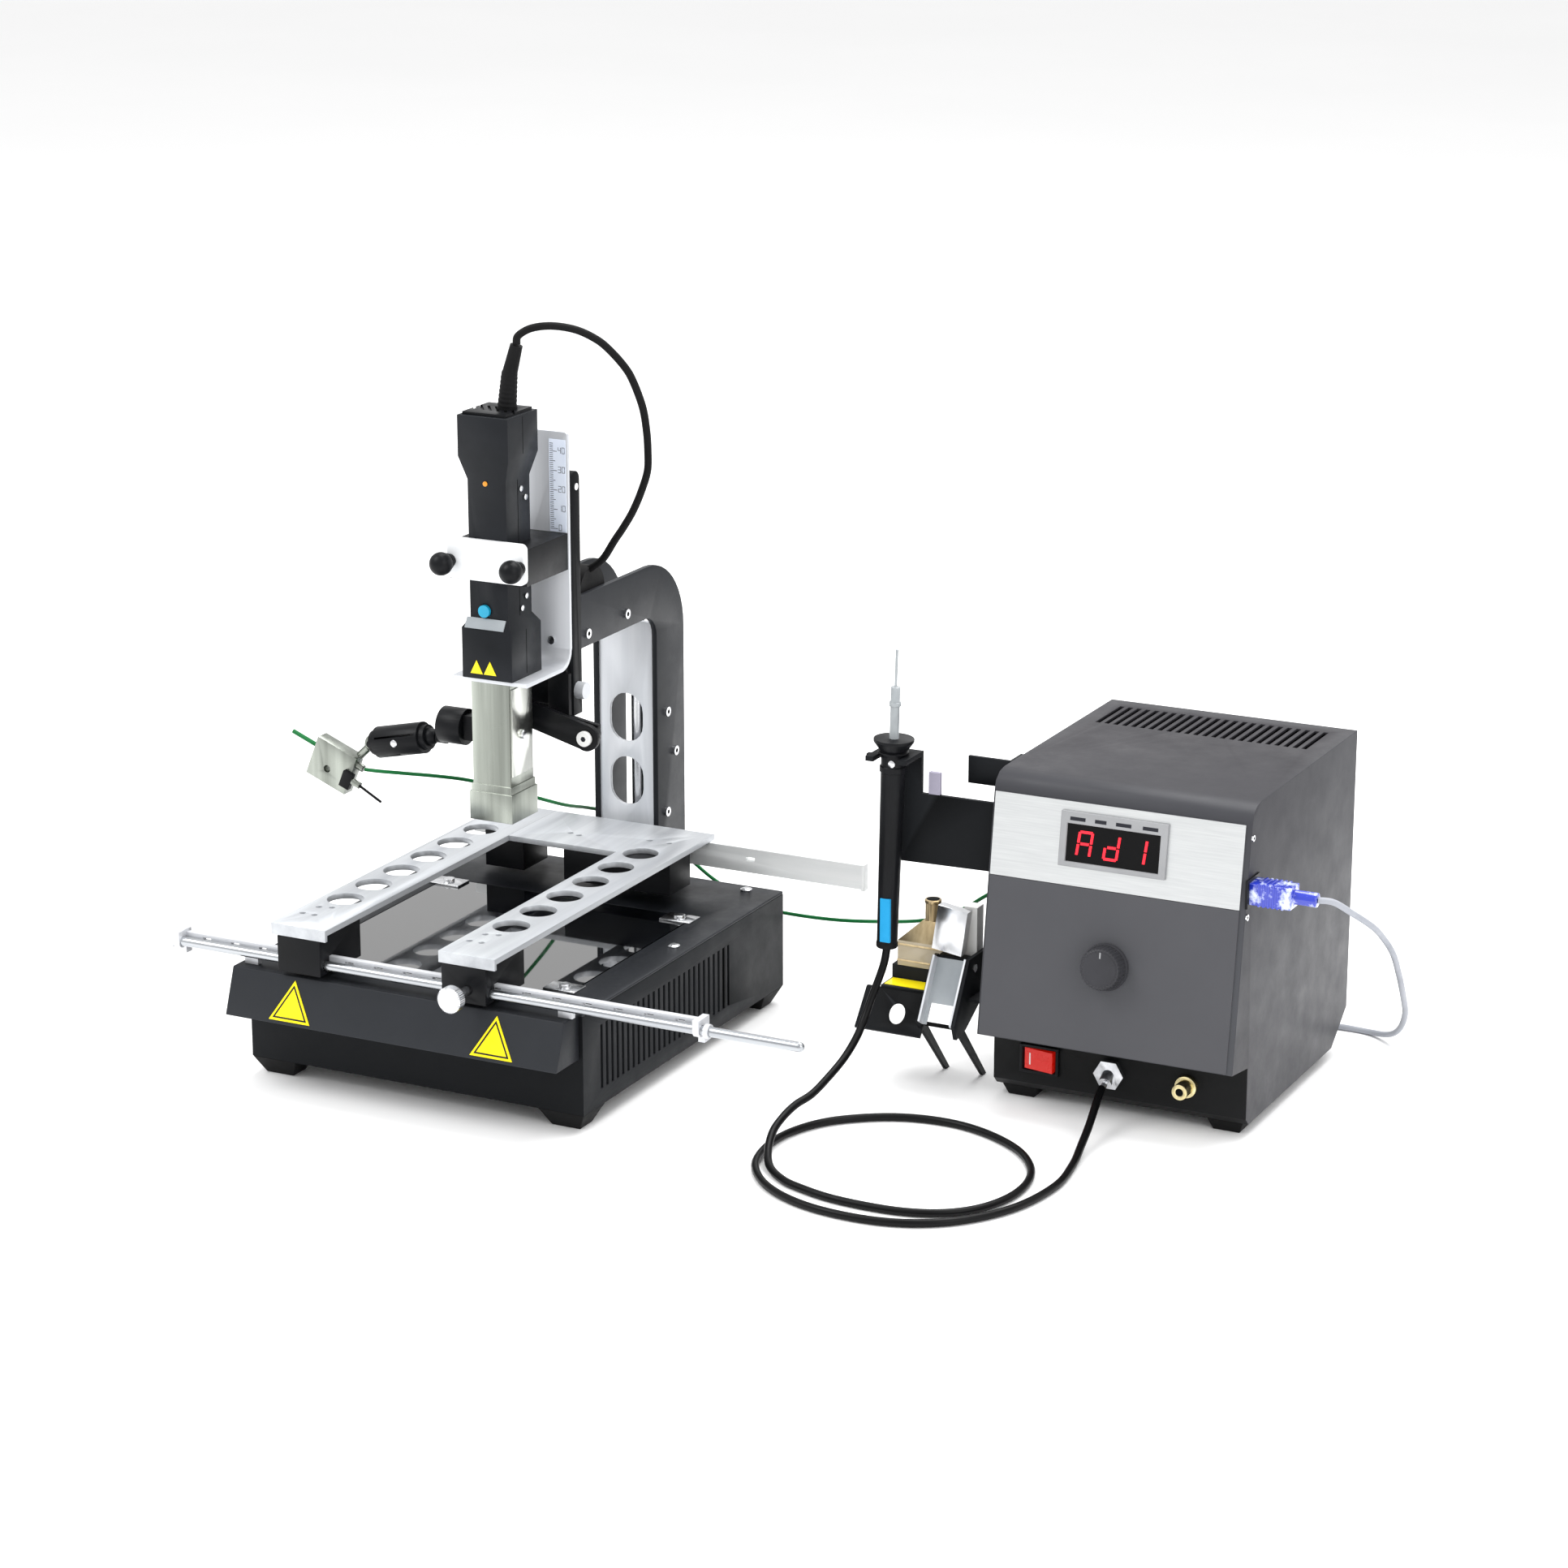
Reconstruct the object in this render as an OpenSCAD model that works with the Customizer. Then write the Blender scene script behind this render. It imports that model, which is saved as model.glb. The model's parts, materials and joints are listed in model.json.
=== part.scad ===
// Hot air rework station: a heated base with a sliding board holder, a head on a vertical rail,
// a temperature sensor arm, a control unit and a suction pen. Millimetres, +Z up.
// Origin: on the table, under the middle of the whole station.

/* [Rework base] */
// Middle of the rework base, left of the origin
work_x = -128; // [-140:1:-110]
// Width of the base
work_w = 194; // [180:1:210]
// Height of the base's cover
cover_z = 62.5; // [55:0.5:75]
// Y of the base's lower front
base_front = -127; // [-140:1:-110]
// Y of the base's back
base_back = 92; // [80:1:100]
// Sheet thickness of the housings
sheet = 1.5; // [1:0.1:2]
// Width of the heater glass
glass_w = 150; // [120:1:160]
// Depth of the heater glass
glass_d = 136; // [110:1:150]

/* [Board holder] */
// Width of each board arm
arm_w = 32; // [25:1:45]
// Top of the board arms
arm_top = 90; // [80:1:95]
// Middle of the left board arm
left_arm_x = -183.5; // [-190:0.5:-175]
// Middle of the right board arm
right_arm_x = -86; // [-95:1:-80]
// Diameter of the large holes in the arms
arm_hole_d = 19; // [10:1:24]
// Distance between the large holes
arm_hole_pitch = 27; // [22:1:32]

/* [Column and head] */
// Width of the column
column_w = 39; // [30:1:50]
// Top of the column's arm
column_top = 233; // [200:1:260]
// Top of the hot air head
head_top = 336; // [300:1:380]
// Y of the head's middle
head_y = -33; // [-40:1:-25]
// Lower end of the nozzle
nozzle_bottom = 126; // [110:1:160]

/* [Control unit] */
// Middle of the control unit, right of the origin
unit_x = 195; // [180:1:210]
// Width of the control unit
unit_w = 135; // [120:1:150]
// Height of the control unit
unit_top = 171.5; // [150:0.5:190]
// Y of the control unit's back
unit_back = 160; // [140:1:170]
// Diameter of the control knob
knob_d = 23.6; // [20:0.1:32]

/* [Cords] */
// Diameter of the head's cord
head_cord_d = 4; // [4:0.1:8]
// Diameter of the pen's hose
hose_d = 4; // [4:0.1:8]
// Diameter of the sensor lead
lead_d = 2; // [1:0.1:3]
// Diameter of the data lead
usb_d = 3.2; // [3:0.1:5]

/* [Hidden] */
$fn = 48;
gap = 0.05;
run = 0.06;
work_l = work_x - work_w / 2;
work_r = work_x + work_w / 2;
base_bottom = 9.5;
tray_top = cover_z - sheet;
glass_y0 = -105;
glass_x0 = work_x - glass_w / 2;
glass_t = 3;
visor_bottom = 38.8;
visor_out = -150;
visor_top_y = -141.5;
visor_lean = atan2(visor_top_y - visor_out, cover_z - visor_bottom);
arm_t = 3;
arm_under = arm_top - arm_t;
lip_h = 6;
arm_y0 = -144;
arm_y1 = 88;
plate_y0 = 37;
block_w = 25;
block_y1 = -106;
block_z0 = 65;
strip_y0 = -135.2;
strip_t = 3;
strip_z0 = 66.5;
strip_z1 = 73.8;
strip_x0 = -261;
strip_x1 = 41;
clip_y1 = strip_y0 + strip_t + 1.6;
clip_r = 3.45;
end_x = -264;
rod_y = -138.5;
rod_z = 69.8;
rod_r = 2.5;
clamp_x = right_arm_x;
clamp_z = 71.8;
clamp_r = 2.5;
knob_face = -162;
rear_y0 = 82;
rear_z0 = 73.4;
rear_z1 = arm_under - gap;
column_l = work_x - column_w / 2;
column_r = work_x + column_w / 2;
column_y0 = 96;
column_y1 = 127;
arm_tip = 12;
plate_t = 3;
rail_w = 42;
rail_r = work_x + rail_w / 2;
rail_y0 = 3.1;
rail_z0 = 172;
rail_z1 = 300;
groove_w = 16;
groove_y1 = 7.1;
lock_y = 7.6;
lock_z = 185;
carriage_w = 38;
carriage_y0 = -1;
carriage_z0 = 178;
carriage_z1 = 262;
bracket_t = 2;
bracket_w = 45.6;
bracket_l = work_x - bracket_w / 2;
bracket_r = work_x + bracket_w / 2;
bracket_front = carriage_y0 - bracket_t;
bracket_top = 322;
yoke_w = 44.6;
shelf_z0 = 199;
shelf_z1 = 201;
mid_w = 22;
mid_d = 24;
big_w = 29;
big_d = 30;
mid_front = head_y - mid_d / 2;
button_x = work_x - 2.2;
button_z = 236;
button_r = 3.2;
boot_r = 4.6;
yoke_z0 = 251;
yoke_z1 = 270;
grip_z = 261;
grip_dx = 20.2;
grip_r = 1.6;
pivot_x = -90;
pivot_z = 167;
sensor_y = -14;
panel_gap = 0.3;
unit_l = unit_x - unit_w / 2;
unit_r = unit_x + unit_w / 2;
unit_bottom = 6.3;
face_top = [7.9, 162.5];
face_low = [-9.4, 40.1];
recess_y = 12.2;
panel_t = 0.8;
face_lean = atan2(face_top[0] - face_low[0], face_top[1] - face_low[1]);
face_len = norm(face_top - face_low);
silver_len = 42;
pen_x = 75.3;
channel_x0 = 90.5;
channel_x1 = 109;
pen_tilt = 1.6;
knob_slope = 79.5;
ball_y = -30;
ball_r = 4.5;
ball_a = [-173.2, 161];
ball_b = [-208.5, 153.2];
link_len = norm(ball_a - ball_b);
link_tilt = -atan2(ball_a[1] - ball_b[1], ball_a[0] - ball_b[0]);
holder = [-232.4, 138.8];
holder_tilt = 22;
bezel_x = 164.7;
knob_x = 193.6;
switch_x = 152.7;
switch_z = 23.7;
hose_x = 191.2;
port_x = 231.5;
port_z = 23;
port_bore = 2;
usb_y = 10;
inlet_z = 48;
inlet_face = 162;
unit_profile = [
    [recess_y + 4, unit_bottom], [recess_y, unit_bottom + 4], [recess_y, 37], [face_low[0], face_low[1]],
    [face_top[0], face_top[1]], [9.6, 167], [14, 170.4], [20, unit_top], [unit_back, unit_top],
    [unit_back, 22.6], [138.5, unit_bottom]
];
unit_inner = [
    [recess_y + 4.6, unit_bottom + sheet], [recess_y + sheet, unit_bottom + 4.6], [recess_y + sheet, 38.3],
    [face_low[0] + sheet, 41.4], [face_top[0] + sheet, 162], [11.2, 166], [14.6, 168.9],
    [20, unit_top - sheet], [unit_back - sheet, unit_top - sheet], [unit_back - sheet, 23.4],
    [138, unit_bottom + sheet]
];
head_cord_path = [
    [-117.8, -30, 370.6], [-116.9, -29.9, 374.6], [-111, -27, 378.4], [-102, -22, 379.5], [-93, -14, 377],
    [-85, -8, 372], [-80, -3, 366], [-75, 3, 357], [-73, 8, 349], [-71, 14, 335], [-71, 18, 322],
    [-72, 21, 311], [-74, 24, 300], [-79, 26, 288], [-85, 28, 277], [-91, 29, 268], [-97, 30, 260],
    [-104, 31, 250], [-110, 31, 245], [-115, 31, 242]
];
hose_path = [
    [73.35, 0, 74.4], [72.5, -1, 67], [71, -4, 59], [69, -9, 49], [68, -15, 40], [68, -24, 33], [67, -36, 26],
    [66, -52, 21], [65, -68, 17.5], [62, -80, 15.5], [61, -92, 13], [62, -105, 10], [66, -118, 5.5],
    [73, -130, 2.8], [84, -140, 2.2], [96, -146, 2.2], [119, -152, 2.2], [150, -152, 2.2], [172, -144, 2.2],
    [186, -128, 2.2], [192, -105, 2.2], [188, -80, 2.2], [173, -58, 2.2], [150, -43, 2.2], [125, -37, 2.2],
    [98, -42, 2.2], [74, -59, 2.2], [62, -80, 2.2], [59, -103, 2.2], [65, -130, 2.2], [83, -152, 2.2],
    [109, -165, 2.2], [139, -168, 2.2], [164, -162, 2.2], [184, -147, 2.2], [199, -122, 2.2],
    [205, -90, 2.2], [202, -62, 2.4], [198, -42, 4.5], [195, -25, 8.5], [192.6, -12, 13], [191.4, -4, 16.6],
    [191.2, 0.5, 19]
];
lead_path = [
    [-214, -30, 138], [-206, -29.4, 138], [-194, -24, 137], [-181, -12, 134], [-171, 2, 129.5],
    [-163, 25, 120], [-159, 55, 107], [-159, 85, 95], [-160, 112, 86], [-152, 129, 79], [-130, 134, 68],
    [-112, 134, 59], [-96, 132, 50], [-81, 128, 45], [-62, 120, 42], [-40, 112, 43], [-4, 100, 48],
    [30, 90, 55], [58, 80, 63], [81, 72, 74], [98, 66, 86], [110, 64, 94], [119, 64, 98]
];
usb_path = [
    [296, 10, 129], [303, 13, 128], [309, 24, 120], [313, 38, 111], [314, 52, 102], [313, 76, 85],
    [309, 100, 66], [304, 124, 47], [299, 145, 29], [291, 162, 14], [281, 175, 5], [268, 183, 1.7],
    [253, 184, 1.7], [239, 182, 1.7]
];
coil_c = [221, 197];
coil_r = 18;
coil_half = 6.4;
coil_h = 12.4;

// A block from its low corner to its high corner.
module block(low, high) {
    translate(low) cube(high - low);
}

// Rods along the three axes, from a start point.
module rod_x(p, r, l) {
    translate(p) rotate([0, 90, 0]) cylinder(r = r, h = l);
}

module rod_y(p, r, l) {
    translate(p) rotate([-90, 0, 0]) cylinder(r = r, h = l);
}

module rod_z(p, r, l) {
    translate(p) cylinder(r = r, h = l);
}

// An outline of Y and Z points, extruded along X.
module side_profile(points, x0, x1) {
    translate([x0, 0, 0]) rotate([90, 0, 90]) linear_extrude(x1 - x0) polygon(points);
}

// An outline of X and Z points, extruded along Y.
module front_profile(points, y0, y1) {
    translate([0, y1, 0]) rotate([90, 0, 0]) linear_extrude(y1 - y0) polygon(points);
}

// Points of an arc round centre c.
function arc(c, r, a0, a1, n) = [for (i = [0 : n]) c + r * [cos(a0 + (a1 - a0) * i / n), sin(a0 + (a1 - a0) * i / n)]];

// Outline of a rectangle with round corners.
function rounded(x0, z0, x1, z1, r) = concat(
    arc([x1 - r, z1 - r], r, 0, 90, 5), arc([x0 + r, z1 - r], r, 90, 180, 5),
    arc([x0 + r, z0 + r], r, 180, 270, 5), arc([x1 - r, z0 + r], r, 270, 360, 5)
);

// Unit direction of a route at point i.
function unit(v) = v / norm(v);
function heading(p, i) = unit(p[min(i + 1, len(p) - 1)] - p[max(i - 1, 0)]);
// Smooth route: k steps of a Catmull-Rom curve between neighbouring points.
function spline_point(p, i, t) = let (
    a = p[max(i - 1, 0)], b = p[i], c = p[i + 1], d = p[min(i + 2, len(p) - 1)]
) 0.5 * ((2 * b) + (c - a) * t + (2 * a - 5 * b + 4 * c - d) * t * t + (3 * b - a - 3 * c + d) * t * t * t);
function smooth(p, k) = concat(
    [for (i = [0 : len(p) - 2], j = [0 : k - 1]) spline_point(p, i, j / k)], [p[len(p) - 1]]
);
function side_of(h) = unit(cross(h, abs(h[2]) < 0.9 ? [0, 0, 1] : [0, 1, 0]));
// A side vector carried along the route without twist.
function frames(p, i = 0, s = undef) = let (
    h = heading(p, i),
    now = i == 0 ? side_of(h) : unit(s - (s * h) * h)
) i == len(p) - 1 ? [now] : concat([now], frames(p, i + 1, now));

// A round tube swept along a route.
module cord(path, d, sides, steps) {
    p = smooth(path, steps);
    s = frames(p);
    n = len(p);
    points = [for (i = [0 : n - 1], k = [0 : sides - 1])
        let (h = heading(p, i), u = cross(h, s[i]), a = 360 * k / sides)
        p[i] + d / 2 * (cos(a) * s[i] + sin(a) * u)];
    walls = [for (i = [0 : n - 2], k = [0 : sides - 1])
        let (a = i * sides, b = a + sides, m = (k + 1) % sides) [a + k, b + k, b + m, a + m]];
    caps = [[for (k = [0 : sides - 1]) k], [for (k = [sides - 1 : -1 : 0]) (n - 1) * sides + k]];
    polyhedron(points = points, faces = concat(walls, caps), convexity = 10);
}

// ---------- Rework base ----------

module vent_row(x0, x1) {
    vents = 26;
    first = -108;
    last = 28;
    for (i = [0 : vents - 1]) {
        y = first + (last - first) * i / (vents - 1);
        block([x0, y - 1.1, 18], [x1, y + 1.1, 51.5]);
    }
}

module base_tray() {
    color("#2c2d30") difference() {
        block([work_l, base_front, base_bottom], [work_r, base_back, tray_top]);
        block([work_l + sheet, base_front + sheet, base_bottom + sheet],
              [work_r - sheet, base_back - sheet, tray_top + 1]);
        vent_row(work_l - 1, work_l + sheet + 1);
        vent_row(work_r - sheet - 1, work_r + 1);
    }
}

module base_cover() {
    color("#3b3c40") {
        difference() {
            block([work_l, base_front, tray_top], [work_r, base_back, cover_z]);
            block([glass_x0 - 0.5, glass_y0 - 0.5, tray_top - 1],
                  [glass_x0 + glass_w + 0.5, glass_y0 + glass_d + 0.5, cover_z + 1]);
        }
        difference() {
            side_profile([[base_front, visor_bottom], [visor_out, visor_bottom],
                [visor_top_y, cover_z], [base_front, cover_z]], work_l, work_r - 2);
            side_profile([[base_front - sheet, visor_bottom + sheet],
                [visor_out + 2.1, visor_bottom + sheet], [visor_top_y + 1.1, tray_top],
                [base_front - sheet, tray_top]], work_l + sheet, work_r - 2 - sheet);
        }
    }
}

module on_visor(x) {
    translate([x, visor_out, visor_bottom]) rotate([90 - visor_lean, 0, 0]) children();
}

module warning_triangles() {
    size = 24;
    color("#f5e50a") for (x = [work_x - 59, work_x + 58]) {
        on_visor(x) translate([0, 2, 0]) linear_extrude(0.4)
            polygon([[-size / 2, 0], [size / 2, 0], [0, 21]]);
    }
    color("#e8cf20") block([63, 19.5, 47.5], [87, 30, 47.8]);
}

module heater_glass() {
    color("#101216") block([glass_x0, glass_y0, cover_z - glass_t],
                           [glass_x0 + glass_w, glass_y0 + glass_d, cover_z]);
}

module glass_clips() {
    color("#d5d7da") for (sx = [-1, 1], y = [glass_y0 + 8, glass_y0 + glass_d - 6]) {
        x = work_x + sx * (glass_w / 2 - 5);
        block([x - 9, y - 6, cover_z], [x + 9, y + 6, cover_z + 1]);
        rod_z([x, y, cover_z + 1], 3, 1.6);
    }
}

module reflector_tray() {
    rim = 3;
    ledge = 1.2;
    color("#c8cacd") difference() {
        block([glass_x0 - rim, glass_y0 - rim, 30],
              [glass_x0 + glass_w + rim, glass_y0 + glass_d + rim, tray_top]);
        block([glass_x0 + ledge, glass_y0 + ledge, 31.5],
              [glass_x0 + glass_w - ledge, glass_y0 + glass_d - ledge, tray_top + 1]);
        block([glass_x0 - 0.3, glass_y0 - 0.3, cover_z - glass_t],
              [glass_x0 + glass_w + 0.3, glass_y0 + glass_d + 0.3, tray_top + 1]);
    }
}

module dome_screw(p, r, h) {
    translate(p) {
        cylinder(r = r, h = h * 0.6);
        translate([0, 0, h * 0.6]) cylinder(r1 = r, r2 = r * 0.6, h = h * 0.4);
    }
}

// ---------- Rails and board arms ----------

module front_strip() {
    slots = 17;
    pitch = 17;
    color("#d8dadc") difference() {
        block([strip_x0, strip_y0, strip_z0], [strip_x1, strip_y0 + strip_t, strip_z1]);
        for (i = [0 : slots - 1]) {
            x = strip_x0 + 14 + i * pitch;
            block([x, strip_y0 - 1, 70.6], [x + 5, strip_y0 + strip_t + 1, 72.2]);
        }
    }
}

module front_rod() {
    rod_end = 93;
    color("#e8e8ea") {
        rod_x([strip_x0, rod_y, rod_z], rod_r, rod_end - strip_x0);
        translate([rod_end, rod_y, rod_z]) sphere(r = rod_r);
    }
}

// Clamps the strip and the rod together.
module rail_clip(x, w) {
    r = clip_r;
    difference() {
        union() {
            block([x, rod_y - r, rod_z], [x + w, clip_y1, strip_z1 + 1.5]);
            block([x, strip_y0 - 0.5, cover_z], [x + w, clip_y1, rod_z]);
            rod_x([x, rod_y, rod_z], r, w);
        }
        rod_x([x - 1, rod_y, rod_z], rod_r, w + 2);
        block([x - 1, strip_y0, strip_z0], [x + w + 1, strip_y0 + strip_t, strip_z1]);
    }
}

module rail_clips() {
    color("#c2c4c8") {
        rail_clip(strip_x0, 4);
        block([end_x, rod_y - 3, rod_z - 3], [strip_x0, clip_y1, strip_z1 + 1.5]);
        rail_clip(strip_x1 - 3.5, 3.5);
        difference() {
            rod_x([strip_x1 + 2, rod_y, rod_z], 3.6, 2.5);
            rod_x([strip_x1, rod_y, rod_z], rod_r, 6);
        }
        for (x = [-222, -40]) {
            block([x, strip_y0, cover_z], [x + 8, strip_y0 + strip_t, strip_z0]);
        }
    }
}

module rear_strip() {
    color("#d8dadc") difference() {
        union() {
            block([-216, rear_y0, rear_z0], [20, rear_y0 + strip_t, rear_z1]);
            block([20, rear_y0 - 1, rear_z0 - 0.5], [22, rear_y0 + strip_t + 1, rear_z1 + 0.5]);
            for (x = [-10, 10]) {
                rod_y([work_x + x, rear_y0 + strip_t, 77], 3, column_y0 + 1 - rear_y0 - strip_t);
            }
        }
        block([-48, rear_y0 - 1, 80], [-43, rear_y0 + strip_t + 1, 82]);
    }
}

// Small holes in the front corner of an arm.
module pin_holes(x) {
    for (p = [[-10, -124], [-3, -124], [-8, -112], [-1.5, -110], [-5, -101]]) {
        rod_z([x + p[0], p[1], arm_under - 1], 1.6, arm_t + 2);
    }
}

module board_arm(x) {
    difference() {
        union() {
            block([x - arm_w / 2, arm_y0, arm_under], [x + arm_w / 2, arm_y1, arm_top]);
            block([x - arm_w / 2, arm_y0, arm_top - lip_h], [x + arm_w / 2, arm_y0 + 2, arm_under]);
            children();
        }
        for (i = [0 : 5]) {
            rod_z([x - 3, -95 + i * arm_hole_pitch, arm_under - 1], arm_hole_d / 2, arm_t + 2);
        }
        pin_holes(x);
    }
}

// The front blocks slide on the strip and the rod.
module slide_block(x) {
    difference() {
        block([x - block_w / 2, arm_y0, block_z0], [x + block_w / 2, block_y1, arm_under]);
        block([x - block_w, arm_y0 - run, arm_top - lip_h - run], [x + block_w, arm_y0 + 2 + run, arm_under + 1]);
        block([x - block_w, strip_y0 - run, block_z0 - 1], [x + block_w, strip_y0 + strip_t + run, strip_z1 + run]);
        rod_x([x - block_w, rod_y, rod_z], rod_r + run, 2 * block_w);
    }
}

module rear_block(x0, x1, y0) {
    block([x0, y0, cover_z + 2], [x1, rear_y0 - run, arm_under]);
}

module left_arm() {
    color("#dcdee0") board_arm(left_arm_x);
}

module left_blocks() {
    color("#1b1b1d") {
        slide_block(left_arm_x);
        rear_block(left_arm_x - 10, left_arm_x + 14, 56);
    }
}

module right_arm() {
    color("#dcdee0") difference() {
        board_arm(right_arm_x) {
            block([left_arm_x + arm_w / 2 + gap, plate_y0, arm_under], [right_arm_x, arm_y1, arm_top]);
        }
        for (p = [[-140, 55.7], [-134, 54], [-95.7, 62.7], [-84, 62.7]]) {
            rod_z([p[0], p[1], arm_under - 1], 1.6, arm_t + 2);
        }
    }
}

module right_blocks() {
    color("#1b1b1d") {
        difference() {
            slide_block(right_arm_x - 2);
            rod_y([clamp_x, arm_y0 - 1, clamp_z], clamp_r + run, 3.6);
        }
        block([-134, plate_y0, 70], [right_arm_x + arm_w / 2, 60, arm_under]);
        rear_block(-112, -82, 60);
    }
}

module arm_clamp_knob() {
    color("#c9cbce") {
        rod_y([clamp_x, knob_face, clamp_z], 6.8, 6);
        rod_y([clamp_x, knob_face + 6, clamp_z], clamp_r, 14.5);
    }
}

// ---------- Column and rail ----------

module column_side() {
    polygon(concat(
        [[base_back, 12], [column_y1, 12]],
        arc([87, column_top - 40], 40, 0, 90, 12),
        [[arm_tip, column_top], [arm_tip, column_top - 28]],
        arc([column_y0 - 12, column_top - 40], 12, 90, 0, 6),
        [[column_y0, cover_z], [base_back, cover_z - 2]]
    ));
}

module column_plate(x0) {
    translate([x0, 0, 0]) rotate([90, 0, 90]) linear_extrude(plate_t) column_side();
}

module column_plates() {
    color("#1f2023") {
        column_plate(column_l);
        column_plate(column_r - plate_t);
    }
}

module column_panel() {
    color("#e3e5e6") difference() {
        block([column_l + plate_t, column_y0 + 1, cover_z + 1],
              [column_r - plate_t, column_y0 + 3, 200]);
        for (z = [110, 145.5]) {
            front_profile(rounded(work_x - 10, z - 13.5, work_x + 10, z + 13.5, 9.9), column_y0, column_y0 + 4);
        }
    }
}

module column_rod() {
    color("#e9eaec") {
        rod_z([work_x, 111, 20], 4, 180);
        for (z = [14, 200]) {
            block([column_l + plate_t, 104, z], [column_r - plate_t, 118, z + 6]);
        }
    }
}

module cord_gland() {
    color("#161618") rod_x([column_l + plate_t, 32, 232], 13, column_w - 2 * plate_t);
}

module guide_rail() {
    round = (arm_tip - rail_y0) / 2;
    color("#17181a") difference() {
        union() {
            block([work_x - rail_w / 2, rail_y0, rail_z0], [rail_r, arm_tip, rail_z1 - round]);
            rod_x([work_x - rail_w / 2, rail_y0 + round, rail_z1 - round], round, rail_w);
        }
        block([work_x - groove_w / 2 - run, rail_y0 - 1, rail_z0 - 1],
              [work_x + groove_w / 2 + run, groove_y1, rail_z1 - 8]);
        rod_x([rail_r - 8.1, lock_y, lock_z], 2 + run, 10);
    }
}

// ---------- Carriage, bracket and head ----------

// Its tongue runs in the groove of the rail.
module carriage() {
    color("#141416") {
        block([work_x - carriage_w / 2, carriage_y0, carriage_z0], [work_x + carriage_w / 2, rail_y0 - run, carriage_z1]);
        block([work_x - groove_w / 2, carriage_y0, carriage_z0], [work_x + groove_w / 2, groove_y1 - run, carriage_z1 - 10]);
    }
}

module lock_screw() {
    color("#d0d2d5") {
        rod_x([rail_r - 8, lock_y, lock_z], 2, 9);
        rod_x([rail_r + run, lock_y, lock_z], 4.5, 5);
    }
}

module head_bracket() {
    bend = 10;
    back = carriage_y0;
    color("#e1e3e5") difference() {
        union() {
            front_profile(rounded(bracket_l, shelf_z0 + bend, bracket_r, bracket_top, 2), bracket_front, back);
            block([bracket_l, bracket_front, shelf_z0 + bend], [bracket_r, back, shelf_z0 + bend + 3]);
            side_profile(concat(
                arc([back - bend, shelf_z0 + bend], bend, 0, -90, 6),
                [[-47, shelf_z0], [-47, shelf_z1]],
                arc([back - bend, shelf_z0 + bend], bend - bracket_t, -90, 0, 6)
            ), bracket_l + 1.2, bracket_r - 0.2);
        }
        block([work_x - 12, head_y - 13, shelf_z0 - 1], [work_x + 12, head_y + 12.5, shelf_z1 + 1]);
    }
}

module ruler_strip() {
    color("#dfe6f2") block([bracket_r - 10.5, bracket_front - 0.4, yoke_z1 + 0.2], [bracket_r - 1, bracket_front, 318]);
}

module clamp_yoke() {
    color("#161618") difference() {
        block([work_x - yoke_w / 2, mid_front, yoke_z0], [work_x + yoke_w / 2, bracket_front, yoke_z1]);
        block([work_x - mid_w / 2 - gap, mid_front - 1, yoke_z0 - 1],
              [work_x + mid_w / 2 + gap, head_y + mid_d / 2 + gap, yoke_z1 + 1]);
        for (s = [-1, 1]) {
            rod_y([work_x + s * grip_dx, mid_front - 1, grip_z], grip_r + run, 8);
        }
    }
}

module clamp_plate() {
    color("#e6e7e8") difference() {
        front_profile(rounded(-150.2, yoke_z0 + 1, -104.9, yoke_z1 + 3, 3), mid_front - 3, mid_front);
        for (s = [-1, 1]) {
            rod_y([work_x + s * grip_dx, mid_front - 4, grip_z], grip_r + run, 5);
        }
    }
}

module clamp_knob(s) {
    color("#111112") {
        translate([work_x + s * grip_dx, mid_front - 12, grip_z]) sphere(r = 6);
        rod_y([work_x + s * grip_dx, mid_front - 10, grip_z], grip_r, 15);
        rod_y([work_x + s * grip_dx, mid_front - 7, grip_z], 3.4, 3.9);
    }
}

module clamp_knob_left() {
    clamp_knob(-1);
}

module clamp_knob_right() {
    clamp_knob(1);
}

// Half outline of the head, from the bottom to the top, as half width and height.
function head_outline(big, mid) = [
    [big / 2, shelf_z1], [big / 2, 227], [mid / 2, 232], [mid / 2, 303], [big / 2, 315], [big / 2, head_top]
];
function mirrored(c, half) = concat(
    [for (p = half) [c + p[0], p[1]]], [for (i = [len(half) - 1 : -1 : 0]) [c - half[i][0], half[i][1]]]
);

module head_shell() {
    color("#1a1a1c") difference() {
        intersection() {
            front_profile(mirrored(work_x, head_outline(big_w, mid_w)), head_y - 20, head_y + 20);
            side_profile(mirrored(head_y, head_outline(big_d, mid_d)), work_x - 20, work_x + 20);
        }
        block([work_x - 9, head_y - 10, 210], [work_x + 9, head_y + 10, 328]);
        rod_y([button_x, mid_front - 1, button_z], button_r + run, 5);
    }
}

module head_vent_cap() {
    color("#232326") difference() {
        block([work_x - 12.5, head_y - 13, head_top], [work_x + 12.5, head_y + 13, head_top + 1.5]);
        for (i = [-3 : 2]) {
            translate([work_x + i * 4.4, head_y, head_top + 0.5]) rotate([0, 0, 35]) {
                translate([-0.7, -7, 0]) cube([1.4, 13, 2]);
            }
        }
        rod_z([work_x + 4, head_y + 3, head_top - 1], boot_r + 0.6 + gap, 4);
    }
}

module head_button() {
    color("#1f9fc4") rod_y([button_x, mid_front - 1.6, button_z], button_r, 4.0);
}

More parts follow.
